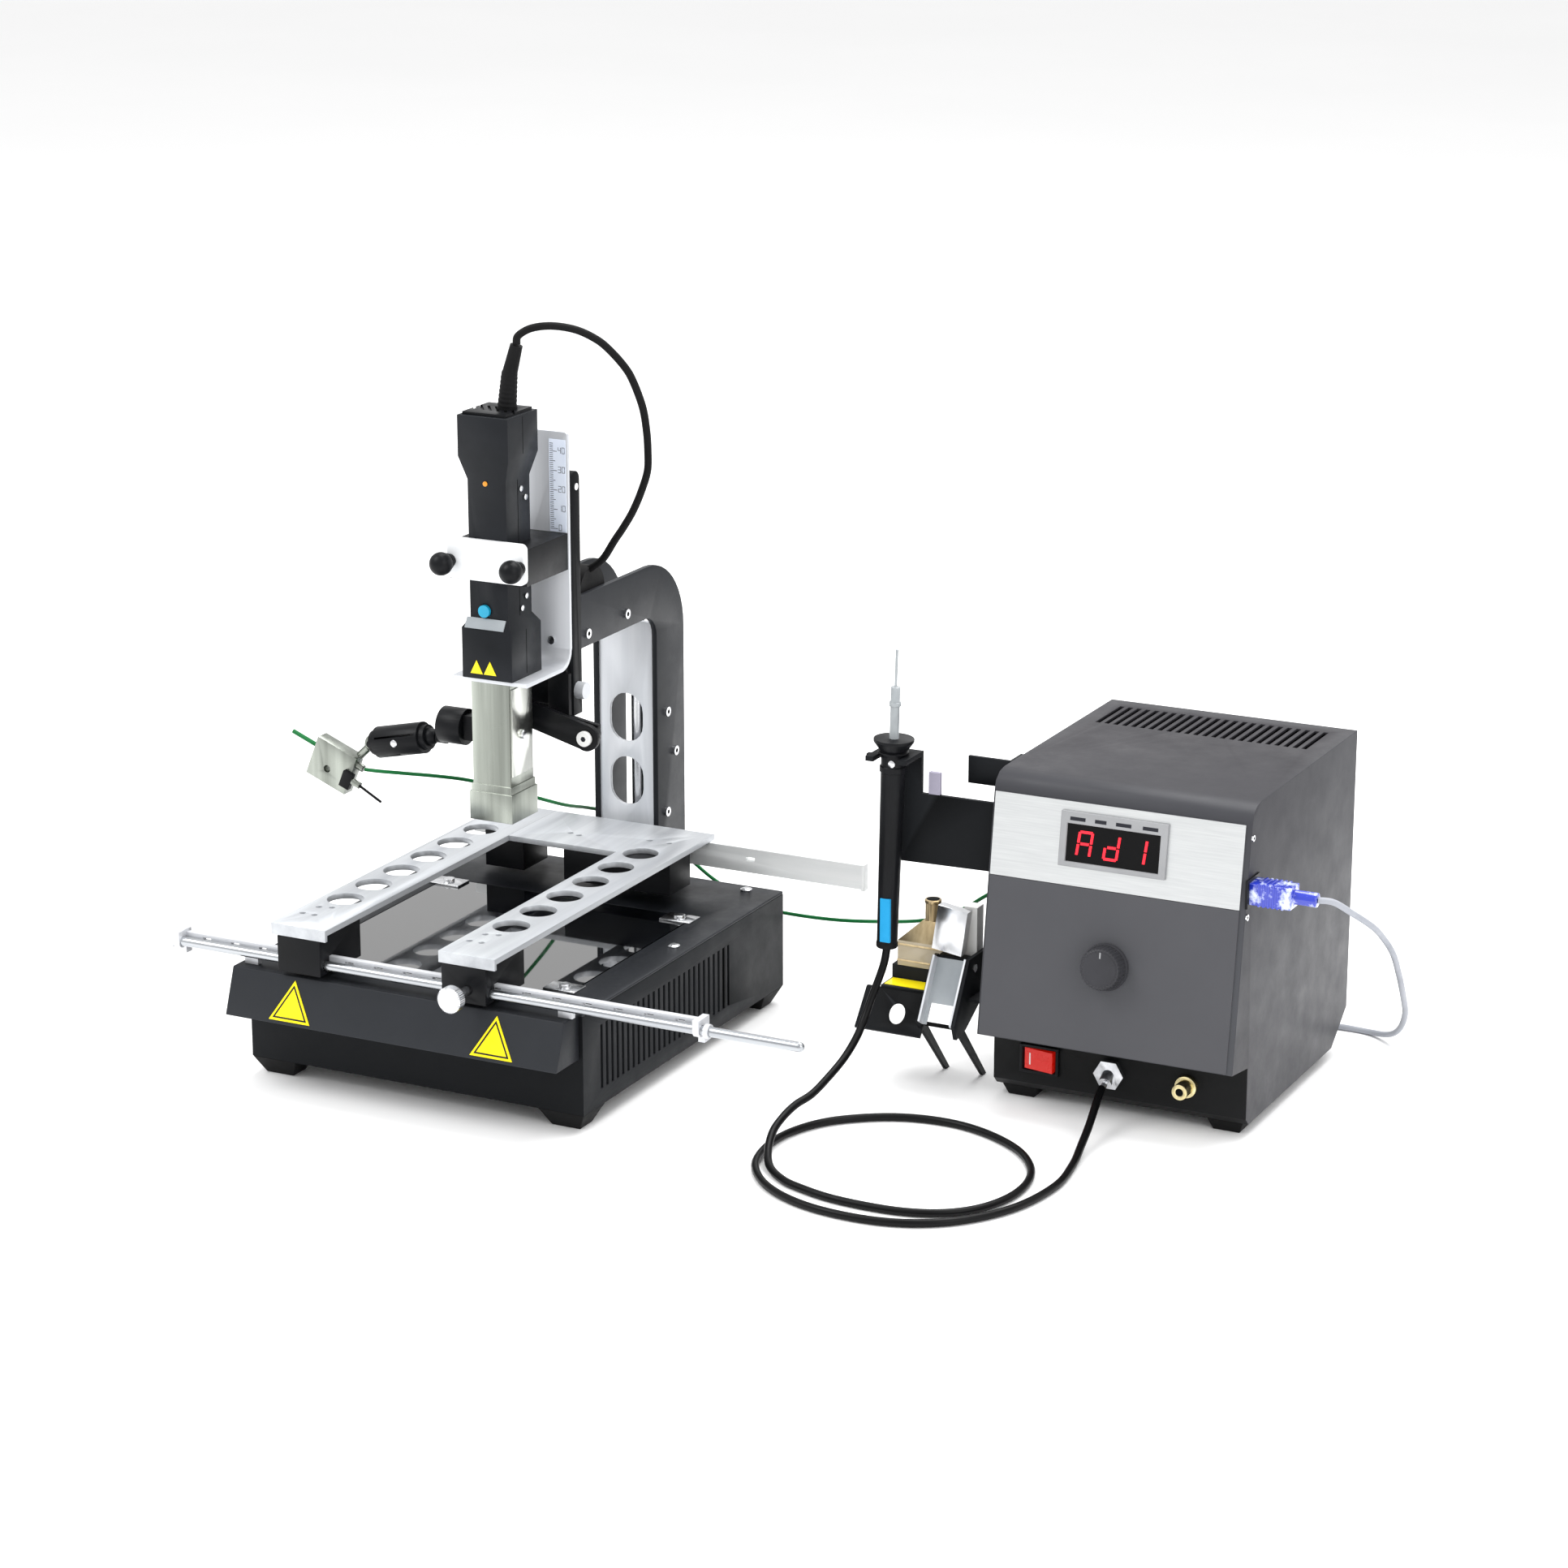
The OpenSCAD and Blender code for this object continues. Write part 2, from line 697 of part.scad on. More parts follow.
module head_trim() {
    front = head_y - big_d / 2;
    color("#b9c2c4") {
        side_profile([[mid_front, 232], [front, 227], [front - 0.6, 227.3], [mid_front - 0.6, 232.3]],
            work_x - 12.5, work_x + 10);
    }
    color("#f5e50a") for (x = [-6, 1.8]) {
        front_profile([[work_x + x - 3.6, 203.7], [work_x + x + 3.6, 203.7], [work_x + x, 210.7]], front - 0.4, front);
    }
    color("#e0a030") rod_y([work_x - 0.5, mid_front - 0.6, 301.5], 1.3, 0.6);
    color("#e4e5e6") {
        for (p = [[2.6, 297.4], [7, 292.3], [6.2, 241.5], [1.8, 236]]) {
            rod_x([work_x + mid_w / 2, head_y + p[0], p[1]], 1.5, 0.8);
        }
        rod_y([-116, bracket_front - 1, 213], 2.2, 1);
    }
}

module cord_boot() {
    top = [work_x + 5.8, head_y + 3, head_top + 18.9];
    color("#121213") {
        rod_z([work_x + 4, head_y + 3, head_top], boot_r + 0.6, 2.5);
        translate([work_x + 4, head_y + 3, head_top + 2]) rotate([0, 6, 0]) cylinder(r1 = boot_r, r2 = 3.9, h = 17);
        translate(top) sphere(r = 4.1);
        translate(top) rotate([0, 16, 0]) cylinder(r1 = 3.9, r2 = 3.2, h = 15.6);
    }
}

module head_cord() {
    color("#141415") cord(head_cord_path, head_cord_d, 12, 3);
}

module square_tube(w, d, z0, z1, wall) {
    difference() {
        block([work_x - w / 2, head_y - 1 - d / 2, z0], [work_x + w / 2, head_y - 1 + d / 2, z1]);
        block([work_x - w / 2 + wall, head_y - 1 - d / 2 + wall, z0 - 1],
              [work_x + w / 2 - wall, head_y - 1 + d / 2 - wall, z1 + 1]);
    }
}

module nozzle() {
    color("#cfd0cc") {
        square_tube(22, 23, nozzle_bottom, shelf_z1, 1);
        square_tube(25, 26, nozzle_bottom, nozzle_bottom + 15, 1.5);
        square_tube(23.5, 24.5, nozzle_bottom + 15, nozzle_bottom + 19, 0.75);
        block([work_x + 11, head_y - 11, 150], [work_x + 11.8, head_y + 9, 196]);
        rod_x([work_x + 11.8, head_y - 2, 171], 2.4, 1.4);
    }
}

// ---------- Sensor arm ----------

// Bracket on the carriage, with the screw that the sensor arm turns on.
module sensor_mount() {
    plate_y = carriage_y0 - 3;
    color("#1a1a1c") {
        front_profile([[-118, 164], [pivot_x + 1, pivot_z - 4], [pivot_x + 1, pivot_z + 4], [-106, 174], [-106, 196],
            [-118, 196]], plate_y, carriage_y0);
        rod_y([pivot_x, sensor_y + 1.6, pivot_z], 3, plate_y - sensor_y - 1.6);
    }
    color("#e4e4e2") {
        rod_y([pivot_x, sensor_y - 1.6, pivot_z], 2.5, 3.2);
        rod_y([pivot_x, sensor_y - 4, pivot_z], 4, 2.4);
    }
}

module sensor_arm() {
    barrel_z = 169;
    color("#1a1a1c") {
        difference() {
            union() {
                front_profile([[pivot_x, pivot_z - 7], [pivot_x, pivot_z + 7], [-128, 184], [-146, 184], [-146, 166],
                    [-128, 170]], sensor_y - 1.5, sensor_y + 1.5);
                rod_y([pivot_x, sensor_y - 1.5, pivot_z], 7, 3);
                block([-152, ball_y - 4, 163], [-143.5, sensor_y + 1.5, 176]);
                rod_x([-165, ball_y, barrel_z], 9.5, 14);
                rod_x([ball_a[0] + 2, ball_y, ball_a[1]], 2.5, 8);
                translate([ball_a[0], ball_y, ball_a[1]]) sphere(r = ball_r);
            }
            rod_y([pivot_x, sensor_y - 3, pivot_z], 2.5 + run, 6);
        }
    }
}

// The link's two ends are sockets, each over half of a ball.
module sensor_link() {
    shell_r = 8.3;
    lip = 3;
    color("#1c1c1f") difference() {
        translate([ball_a[0], ball_y, ball_a[1]]) rotate([0, link_tilt - 90, 0]) {
            difference() {
                union() {
                    translate([0, 0, 1]) cylinder(r = shell_r - 1.8, h = link_len - 2);
                    translate([0, 0, 1 + lip]) cylinder(r = shell_r, h = link_len - 2 - 2 * lip);
                }
                block([3, -10, 6], [4, 10, link_len - 6]);
                block([-20, -10, link_len / 2 - 0.5], [-6.2, 10, link_len / 2 + 0.5]);
            }
        }
        for (b = [ball_a, ball_b]) {
            translate([b[0], ball_y, b[1]]) sphere(r = ball_r + run);
        }
    }
}

module sensor_holder() {
    color("#b4b7ba") {
        translate([holder[0], ball_y, holder[1]]) rotate([0, holder_tilt, 0]) {
            difference() {
                block([-12.5, -4, -11], [12.5, 4, 11]);
                rod_y([-1.6, -5, -2.9], 2, 10);
            }
            rod_x([11, 0, 6], 2, 5.4);
            block([9, -7, -6], [15, -4, 3]);
            rod_x([10, -5, -1], 1.8, 10);
            translate([19, -5, -1]) rotate([0, 97, 0]) cylinder(r = 0.7, h = 15.5);
            rod_x([-29, 0, 4], 1.2, 18);
        }
        translate([ball_b[0], ball_y, ball_b[1]]) {
            sphere(r = ball_r);
            rotate([0, -134, 0]) translate([0, 0, 2.5]) cylinder(r = 2.2, h = 9);
        }
    }
}

module sensor_lead() {
    color("#2f8f4e") cord(lead_path, lead_d, 8, 3);
}

// ---------- Control unit ----------

// Places its children on the sloping front: X across, Y up the slope from its top edge, Z outwards.
module on_face() {
    translate([0, face_top[0], face_top[1]]) rotate([90 - face_lean, 0, 0]) children();
}

module unit_shell() {
    vents = 24;
    color("#38393d") difference() {
        side_profile(unit_profile, unit_l, unit_r);
        side_profile(unit_inner, unit_l + sheet, unit_r - sheet);
        for (i = [0 : vents - 1]) {
            x = unit_x - 57 + i * 4.85;
            block([x - 1.2, 115, unit_top - 3], [x + 1.2, 149, unit_top + 1]);
        }
        block([switch_x - 8.9, recess_y - 1, switch_z - 5.9], [switch_x + 8.9, recess_y + 4, switch_z + 5.9]);
        block([unit_x - 16, unit_back - 2, inlet_z - 12], [unit_x + 16, unit_back + 1, inlet_z + 12]);
        on_face() rod_z([knob_x, -knob_slope, -5], 3 + run, 8);
    }
}

module silver_panel() {
    color("#b9bbbd") on_face() block([unit_l + 1.2, -silver_len, 0], [unit_r - 3, -0.4, panel_t]);
}

module grey_panel() {
    color("#5b5a5d") on_face() difference() {
        block([unit_l + 1.2, -face_len + 0.6, 0], [unit_r - 3, -silver_len - panel_gap, panel_t]);
        rod_z([knob_x, -knob_slope, -1], 3 + run, 4);
    }
}

module display_bezel() {
    color("#77797c") on_face() difference() {
        block([bezel_x, -32.5, panel_t], [bezel_x + 56, -5, panel_t + 1.6]);
        block([bezel_x + 3.5, -30, panel_t + 0.6], [bezel_x + 52.5, -11, panel_t + 3]);
    }
}

// One seven-segment digit; on lists its lit segments, from the top one clockwise, the middle one last.
module digit(on) {
    w = 8;
    h = 13;
    t = 1.3;
    lean = 0.1;
    bars = [[[0.8, h - t], [w - 0.8, h]], [[w - t, h / 2 + 0.4], [w, h - 0.8]], [[w - t, 0.8], [w, h / 2 - 0.4]],
        [[0.8, 0], [w - 0.8, t]], [[0, 0.8], [t, h / 2 - 0.4]], [[0, h / 2 + 0.4], [t, h - 0.8]],
        [[1.8, h / 2 - t / 2], [w - 1.8, h / 2 + t / 2]]];
    for (i = on) {
        a = bars[i][0];
        b = bars[i][1];
        linear_extrude(0.4) polygon([[a[0] + lean * a[1], a[1]], [b[0] + lean * a[1], a[1]],
            [b[0] + lean * b[1], b[1]], [a[0] + lean * b[1], b[1]]]);
    }
}

module display_digits() {
    shown = [[0, 1, 2, 4, 5, 6], [1, 2, 3, 4, 6], [1, 2]];
    color("#e01818") on_face() for (i = [0 : 2]) {
        translate([bezel_x + 8.5 + i * 14.2, -27, panel_t + 0.6]) digit(shown[i]);
    }
}

module control_knob() {
    color("#47474a") on_face() translate([knob_x, -knob_slope, 0]) {
        translate([0, 0, panel_t + run]) cylinder(r = knob_d / 2, h = 2);
        translate([0, 0, panel_t + 2 + run]) cylinder(r1 = knob_d / 2 - 0.8, r2 = knob_d / 2 - 1.4, h = 7.5);
        rod_z([0, 0, -3], 3, 6);
    }
}

module switch_frame() {
    color("#151516") difference() {
        block([switch_x - 10.5, recess_y - 1.6, switch_z - 7.5], [switch_x + 10.5, recess_y, switch_z + 7.5]);
        block([switch_x - 8.9, recess_y - 3, switch_z - 5.9], [switch_x + 8.9, recess_y + 1, switch_z + 5.9]);
    }
}

// The rocker is pressed in at its left end, and turns about an upright pin.
module switch_rocker() {
    color("#c8281e") translate([switch_x, recess_y, switch_z - 5.4]) linear_extrude(10.8) {
        polygon([[-8, 3.5], [-8, -0.6], [0, -2], [8, -3.4], [8, 3.5]]);
    }
}

module unit_ports() {
    color("#d0b060") {
        rod_y([port_x, recess_y - 3, port_z], 5.6, 3);
        difference() {
            rod_y([port_x, recess_y - 11, port_z], 4, 8);
            rod_y([port_x, recess_y - 12, port_z], port_bore, 8);
        }
    }
    color("#c4c6c8") {
        translate([hose_x, recess_y, port_z]) rotate([90, 0, 0]) cylinder(r = 8, h = 4.5, $fn = 6);
        translate([hose_x, recess_y - 3, port_z]) rotate([119.5, 0, 0]) {
            cylinder(r = 3.4, h = 6);
            cylinder(r = 1.5, h = 10.5);
        }
    }
    color("#202022") {
        block([unit_l - 4, 57, 91], [unit_l, 71, 105]);
        rod_x([unit_l - 8.5, 64, 98], 4, 4.5);
        difference() {
            union() {
                block([unit_x - 25, unit_back, inlet_z - 14], [unit_x + 25, inlet_face, inlet_z + 14]);
                block([unit_x - 15.9, unit_back - 16, inlet_z - 11.9], [unit_x + 15.9, unit_back, inlet_z + 11.9]);
            }
            block([unit_x - 12, unit_back - 10, inlet_z - 9], [unit_x + 12, inlet_face + 1, inlet_z + 9]);
        }
    }
}

module usb_plugs() {
    plug_y = 174.2;
    color("#3148c8") {
        block([unit_r, usb_y - 6, 123.5], [unit_r + 22, usb_y + 6, 134.5]);
        rod_x([unit_r + 22, usb_y, 129], 3.6, 11.5);
    }
    color("#2a2a2c") {
        block([147, plug_y - 6, 1.8], [167, plug_y + 6, 6.3]);
        block([166, plug_y - 7.5, 0], [190, plug_y + 7.5, 8]);
        rod_x([189, plug_y, 4], 2.4, 7);
    }
}

module usb_lead() {
    color("#a9adb4") cord(usb_path, usb_d, 8, 4);
}

module usb_coil() {
    color("#a9adb4") translate([coil_c[0], coil_c[1], 0]) rotate_extrude() {
        translate([coil_r - coil_half, 0]) square([2 * coil_half, coil_h]);
    }
}

// ---------- Suction pen and its holder ----------

module pen_holder() {
    hole_x = pen_x + 0.8;
    hole_r = 6.9;
    color("#161618") {
        front_profile([[76, 118], [unit_l, 119], [unit_l, 154.5], [97, 154.5], [97, 166], [91, 166], [91, 154.5],
            [87, 154.5], [87, 176], [76, 176]], 10, 12.5);
        block([unit_l - 2, 10, 119], [unit_l, 45, 154.5]);
        block([103.5, 30, 157], [unit_l, 32, 171]);
        block([unit_l - 2, 30, 150], [unit_l, 45, 171]);
        block([62, -1.5, 173.5], [67, 1.5, 175]);
        difference() {
            block([65, -9, 173.5], [87, 12.5, 176]);
            rod_z([hole_x, 0, 170], hole_r, 10);
            block([hole_x - hole_r, -10, 170], [hole_x + hole_r, 0, 180]);
        }
    }
}

module suction_pen() {
    color("#17171a") translate([73.4, 0, 75]) rotate([0, pen_tilt, 0]) {
        cylinder(r1 = 5.2, r2 = 6.2, h = 101.8);
        translate([0, 0, 101.8]) cylinder(r = 7.8, h = 1);
        translate([0, 0, 102.8]) cylinder(r1 = 6.6, r2 = 10.2, h = 5);
        translate([0, 0, 107.8]) cylinder(r = 10.2, h = 1.5);
        translate([0, 0, 109.3]) cylinder(r = 2.4, h = 26.5);
        translate([0, 0, 126]) cylinder(r = 3.1, h = 2);
        translate([0, 0, 135.8]) cylinder(r = 0.7, h = 19);
    }
}

module pen_hose() {
    color("#141416") cord(hose_path, hose_d, 10, 2);
}

// A shelf of spare nozzles, with a bright sloping channel and its legs in front.
module nozzle_rack() {
    color("#1a1a1c") {
        difference() {
            side_profile([[17.5, 46], [19, 46], [4.2, 27.2], [3, 28.2]], 54, channel_x0 - gap);
            rod_y([74.6, 0, 36], 4.5, 16);
        }
        block([62, 17.5, 46], [unit_l, 40, 47.5]);
        block([62, 31, 47.5], [98, 47, 54.7]);
        block([91, 24, 47.5], [107, 30, 66]);
        block([unit_l - 1.5, 17.5, 46], [unit_l, 60, 80]);
        side_profile([[4, 37], [22, 66], [26, 66], [26, 46], [12, 40]], channel_x0 - 2, channel_x0 - gap);
        side_profile([[0, 38], [18, 68], [40, 68], [40, 46], [14, 32], [3, 30]], channel_x1 + gap, channel_x1 + 2);
        for (x = [channel_x0 - 2, channel_x1 + gap]) {
            side_profile([[1.5, 37], [6, 40], [41, 0], [37, 0]], x, x + 1.9);
        }
    }
}

// A bright open channel that slopes down to the front.
module rack_channel() {
    wall = 1.2;
    color("#c9cacb") {
        for (x = [channel_x0, channel_x1 - wall]) {
            side_profile([[0, 38], [18, 68], [22.3, 65.4], [4.3, 35.4]], x, x + wall);
        }
        difference() {
            side_profile([[4.3, 35.4], [22.3, 65.4], [23.2, 64.9], [5.2, 34.9]], channel_x0, channel_x1);
            block([channel_x0 + 3, 0, 30], [channel_x1 - 3, 30, 45]);
        }
    }
}

module spare_nozzles() {
    color("#c9b391") {
        block([65, 31, 54.7], [97, 47, 68]);
        intersection() {
            front_profile([[65, 68], [97, 68], [85, 79], [77, 79]], 31, 47);
            side_profile([[31, 68], [47, 68], [43, 79], [35, 79]], 65, 97);
        }
        rod_z([81, 39, 78], 4, 12);
    }
    color("#d4d5d3") translate([97, 27, 79.4]) rotate([0, 8, 0]) block([-8.2, -3, -11.6], [8.2, 3, 12]);
    color("#cdbb9c") block([101.5, 32, 47.5], [108.6, 40, 91]);
}

// ---------- Feet and screws ----------

// A block that gets narrower towards the table.
module foot(x, y, w, d, h, taper) {
    intersection() {
        front_profile([[x - w / 2, h], [x + w / 2, h], [x + w / 2 - taper, 0], [x - w / 2 + taper, 0]], y - d, y + d);
        side_profile([[y - d / 2, h], [y + d / 2, h], [y + d / 2 - taper, 0], [y - d / 2 + taper, 0]], x - w, x + w);
    }
}

module feet() {
    color("#18181a") {
        for (x = [work_l + 13, work_r - 13], y = [base_front + 11, base_back - 11]) {
            foot(x, y, 26, 22, base_bottom, 5);
        }
        for (x = [-55, 55], y = [26, 128]) {
            foot(unit_x + x, y, 19, 19, unit_bottom, 2.5);
        }
    }
}

module screws() {
    color("#c4c6c9") {
        for (sx = [-1, 1]) {
            dome_screw([work_x + sx * 88.5, -16, cover_z], 3.2, 1.6);
            dome_screw([work_x + sx * 79, 84, cover_z], 3.2, 1.6);
        }
        for (p = [[62, 213], [20, 212], [106, 149], [115, 125], [105, 93], [105, 30]]) {
            rod_x([column_r, p[0], p[1]], 2.6, 1.6);
            rod_x([column_l - 1.6, p[0], p[1]], 2.6, 1.6);
        }
        for (p = [[8.6, 155.8], [3.4, 117.3]]) {
            rod_x([unit_r, p[0], p[1]], 1.6, 0.8);
        }
        rod_x([rail_r, lock_y, 292], 1.8, 0.8);
        rod_x([channel_x1 + 2, 24, 62], 2, 0.8);
    }
}

base_tray();
base_cover();
warning_triangles();
heater_glass();
glass_clips();
reflector_tray();
front_strip();
front_rod();
rail_clips();
rear_strip();
left_arm();
left_blocks();
right_arm();
right_blocks();
arm_clamp_knob();
column_plates();
column_panel();
column_rod();
cord_gland();
guide_rail();
carriage();
lock_screw();
head_bracket();
ruler_strip();
clamp_yoke();
clamp_plate();
clamp_knob_left();
clamp_knob_right();
head_shell();
head_vent_cap();
head_button();
head_trim();
cord_boot();
head_cord();
nozzle();
sensor_mount();
sensor_arm();
sensor_link();
sensor_holder();
sensor_lead();
unit_shell();
silver_panel();
grey_panel();
display_bezel();
display_digits();
control_knob();
switch_frame();
switch_rocker();
unit_ports();
usb_plugs();
usb_lead();
usb_coil();
pen_holder();
suction_pen();
pen_hose();
nozzle_rack();
rack_channel();
spare_nozzles();
feet();
screws();
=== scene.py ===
"""Looks of the hot air rework station: camera, cords, bevelled housings, small details and materials."""
import json
import math

import bmesh
import bpy
from mathutils import Matrix, Vector

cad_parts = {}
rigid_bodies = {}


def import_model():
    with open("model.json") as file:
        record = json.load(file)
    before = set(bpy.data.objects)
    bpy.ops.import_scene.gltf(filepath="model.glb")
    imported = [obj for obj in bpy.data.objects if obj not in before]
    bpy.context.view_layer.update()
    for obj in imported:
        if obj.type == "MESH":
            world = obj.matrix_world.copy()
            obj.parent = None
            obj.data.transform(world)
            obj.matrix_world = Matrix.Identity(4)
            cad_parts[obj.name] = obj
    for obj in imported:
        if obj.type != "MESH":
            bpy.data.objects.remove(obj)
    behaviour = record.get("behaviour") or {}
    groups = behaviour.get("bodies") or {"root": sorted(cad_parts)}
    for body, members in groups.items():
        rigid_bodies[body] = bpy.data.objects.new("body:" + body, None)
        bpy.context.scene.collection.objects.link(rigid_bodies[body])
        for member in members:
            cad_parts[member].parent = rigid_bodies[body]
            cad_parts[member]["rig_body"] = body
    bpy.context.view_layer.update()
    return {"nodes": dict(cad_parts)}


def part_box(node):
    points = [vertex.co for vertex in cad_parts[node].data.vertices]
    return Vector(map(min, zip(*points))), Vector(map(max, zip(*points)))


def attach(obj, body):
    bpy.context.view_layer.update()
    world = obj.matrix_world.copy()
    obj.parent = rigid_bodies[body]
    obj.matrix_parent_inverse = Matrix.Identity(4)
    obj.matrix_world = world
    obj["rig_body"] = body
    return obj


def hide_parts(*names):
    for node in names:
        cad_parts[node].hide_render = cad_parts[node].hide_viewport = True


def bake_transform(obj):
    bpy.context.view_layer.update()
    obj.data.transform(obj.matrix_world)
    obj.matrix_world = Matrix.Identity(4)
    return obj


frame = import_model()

MM = 0.001
FLOOR_SIZE = 60.0

# ---------- Camera ----------

CAMERA_PLACE = Vector((0.9064, -1.7802, 0.7407))
CAMERA_AIM = Vector((-0.2155, 0.4617, 0.0))
LENS_MM = 94.66
SENSOR_MM = 36.0


def make_camera():
    data = bpy.data.cameras.new("camera")
    data.lens = LENS_MM
    data.sensor_width = SENSOR_MM
    camera = bpy.data.objects.new("camera", data)
    camera.location = CAMERA_PLACE
    camera.rotation_mode = "QUATERNION"
    camera.rotation_quaternion = (CAMERA_AIM - CAMERA_PLACE).to_track_quat("-Z", "Y")
    bpy.context.scene.collection.objects.link(camera)
    bpy.context.scene.camera = camera


make_camera()


# ---------- Materials ----------

def srgb(code):
    """Linear colour of a #rrggbb code."""
    parts = [int(code[i:i + 2], 16) / 255 for i in (1, 3, 5)]
    return [p / 12.92 if p <= 0.04045 else ((p + 0.055) / 1.055) ** 2.4 for p in parts] + [1.0]


class Nodes:
    """A short way to add and join shader nodes."""

    def __init__(self, name):
        self.material = bpy.data.materials.new(name)
        self.material.use_nodes = True
        self.tree = self.material.node_tree
        self.shader = self.tree.nodes["Principled BSDF"]

    def add(self, kind, **inputs):
        node = self.tree.nodes.new(kind)
        for key, value in inputs.items():
            self.put(node, key.replace("_", " "), value)
        return node

    def put(self, node, key, value):
        if isinstance(value, bpy.types.NodeSocket):
            self.tree.links.new(value, node.inputs[key])
        else:
            node.inputs[key].default_value = value

    def place(self, stretch=(1, 1, 1)):
        coords = self.add("ShaderNodeTexCoord")
        mapping = self.add("ShaderNodeMapping", Vector=coords.outputs["Object"])
        mapping.inputs["Scale"].default_value = stretch
        return mapping.outputs["Vector"]

    def noise(self, scale, stretch=(1, 1, 1), detail=4.0, rough=0.6):
        node = self.add("ShaderNodeTexNoise", Vector=self.place(stretch), Scale=scale, Detail=detail)
        node.inputs["Roughness"].default_value = rough
        return node.outputs["Fac"]

    def span(self, value, low, high, start=0.3, stop=0.7):
        node = self.add("ShaderNodeMapRange", Value=value)
        node.inputs["From Min"].default_value = start
        node.inputs["From Max"].default_value = stop
        node.inputs["To Min"].default_value = low
        node.inputs["To Max"].default_value = high
        return node.outputs["Result"]

    def mix(self, factor, a, b):
        node = self.tree.nodes.new("ShaderNodeMix")
        node.data_type = "RGBA"
        colours = [s for s in node.inputs if s.type == "RGBA"]
        for socket, value in zip([node.inputs[0]] + colours, (factor, a, b)):
            if isinstance(value, bpy.types.NodeSocket):
                self.tree.links.new(value, socket)
            else:
                socket.default_value = value
        return [s for s in node.outputs if s.type == "RGBA"][0]

    def bump(self, height, strength, distance):
        node = self.add("ShaderNodeBump", Height=height, Strength=strength, Distance=distance)
        self.put(self.shader, "Normal", node.outputs["Normal"])


DULL = 0.14


def painted(name, code, light, rough=0.45, grain=900.0, bump=0.12, worn_code="#55575b", gloss=DULL):
    """Powder coat: a fine orange peel, soft clouds of colour and lighter worn edges."""
    n = Nodes(name)
    clouds = n.noise(14.0)
    edge = n.add("ShaderNodeNewGeometry").outputs["Pointiness"]
    worn = n.span(edge, 0.0, 0.5, 0.52, 0.60)
    base = n.mix(n.span(clouds, 0.0, 1.0), srgb(code), srgb(light))
    n.put(n.shader, "Base Color", n.mix(worn, base, srgb(worn_code)))
    n.put(n.shader, "Specular IOR Level", gloss)
    n.put(n.shader, "Roughness", n.span(n.noise(60.0), rough - 0.05, rough + 0.08))
    n.bump(n.noise(grain, detail=2.0), bump, 0.0002)
    return n.material


def metal(name, code, dark, rough, stretch, scale=120.0, bump=0.05, metallic=1.0):
    """Brushed or rolled metal: fine lines along one way, with faint smudges."""
    n = Nodes(name)
    lines = n.noise(scale, stretch, detail=6.0)
    smudge = n.noise(9.0)
    colour = n.mix(n.span(lines, 0.0, 1.0), srgb(dark), srgb(code))
    n.put(n.shader, "Base Color", n.mix(n.span(smudge, 0.0, 0.25), colour, srgb(dark)))
    n.put(n.shader, "Metallic", metallic)
    n.put(n.shader, "Roughness", n.span(smudge, rough - 0.06, rough + 0.1))
    n.bump(lines, bump, 0.0002)
    return n.material


def plastic(name, code, light, rough=0.4, grain=1500.0, bump=0.06, coat=0.0):
    """Moulded plastic or rubber: fine texture and slight unevenness of gloss."""
    n = Nodes(name)
    n.put(n.shader, "Base Color", n.mix(n.span(n.noise(25.0), 0.0, 1.0), srgb(code), srgb(light)))
    n.put(n.shader, "Roughness", n.span(n.noise(80.0), rough - 0.05, rough + 0.1))
    n.put(n.shader, "Coat Weight", coat)
    n.put(n.shader, "Specular IOR Level", DULL)
    n.bump(n.noise(grain, detail=2.0), bump, 0.0001)
    return n.material


def plastic_with_painted_light(name, code, light, patches):
    """Clear coloured plastic, with painted bright patches standing for light that comes through it."""
    n = Nodes(name)
    lit = n.span(n.noise(patches), 0.0, 1.0, 0.5, 0.62)
    n.put(n.shader, "Base Color", n.mix(lit, srgb(code), srgb(light)))
    n.put(n.shader, "Roughness", n.span(n.noise(90.0), 0.1, 0.2))
    n.put(n.shader, "Coat Weight", 0.8)
    return n.material


def glowing(name, code, strength):
    n = Nodes(name)
    flicker = n.span(n.noise(300.0), 0.9, 1.0)
    n.put(n.shader, "Base Color", srgb(code))
    n.put(n.shader, "Roughness", n.span(n.noise(150.0), 0.25, 0.35))
    n.put(n.shader, "Emission Color", n.mix(flicker, srgb("#600000"), srgb(code)))
    n.put(n.shader, "Emission Strength", strength)
    return n.material


def dark_glass(name):
    n = Nodes(name)
    dust = n.noise(40.0, detail=8.0)
    n.put(n.shader, "Base Color", n.mix(n.span(dust, 0.0, 0.25), srgb("#050608"), srgb("#1c1e22")))
    n.put(n.shader, "Roughness", n.span(dust, 0.02, 0.07))
    n.put(n.shader, "Coat Weight", 1.0)
    n.put(n.shader, "Coat Roughness", 0.02)
    return n.material


ALONG_X = (0.03, 1.0, 1.0)
ALONG_Y = (1.0, 0.03, 1.0)
ALONG_Z = (1.0, 1.0, 0.03)

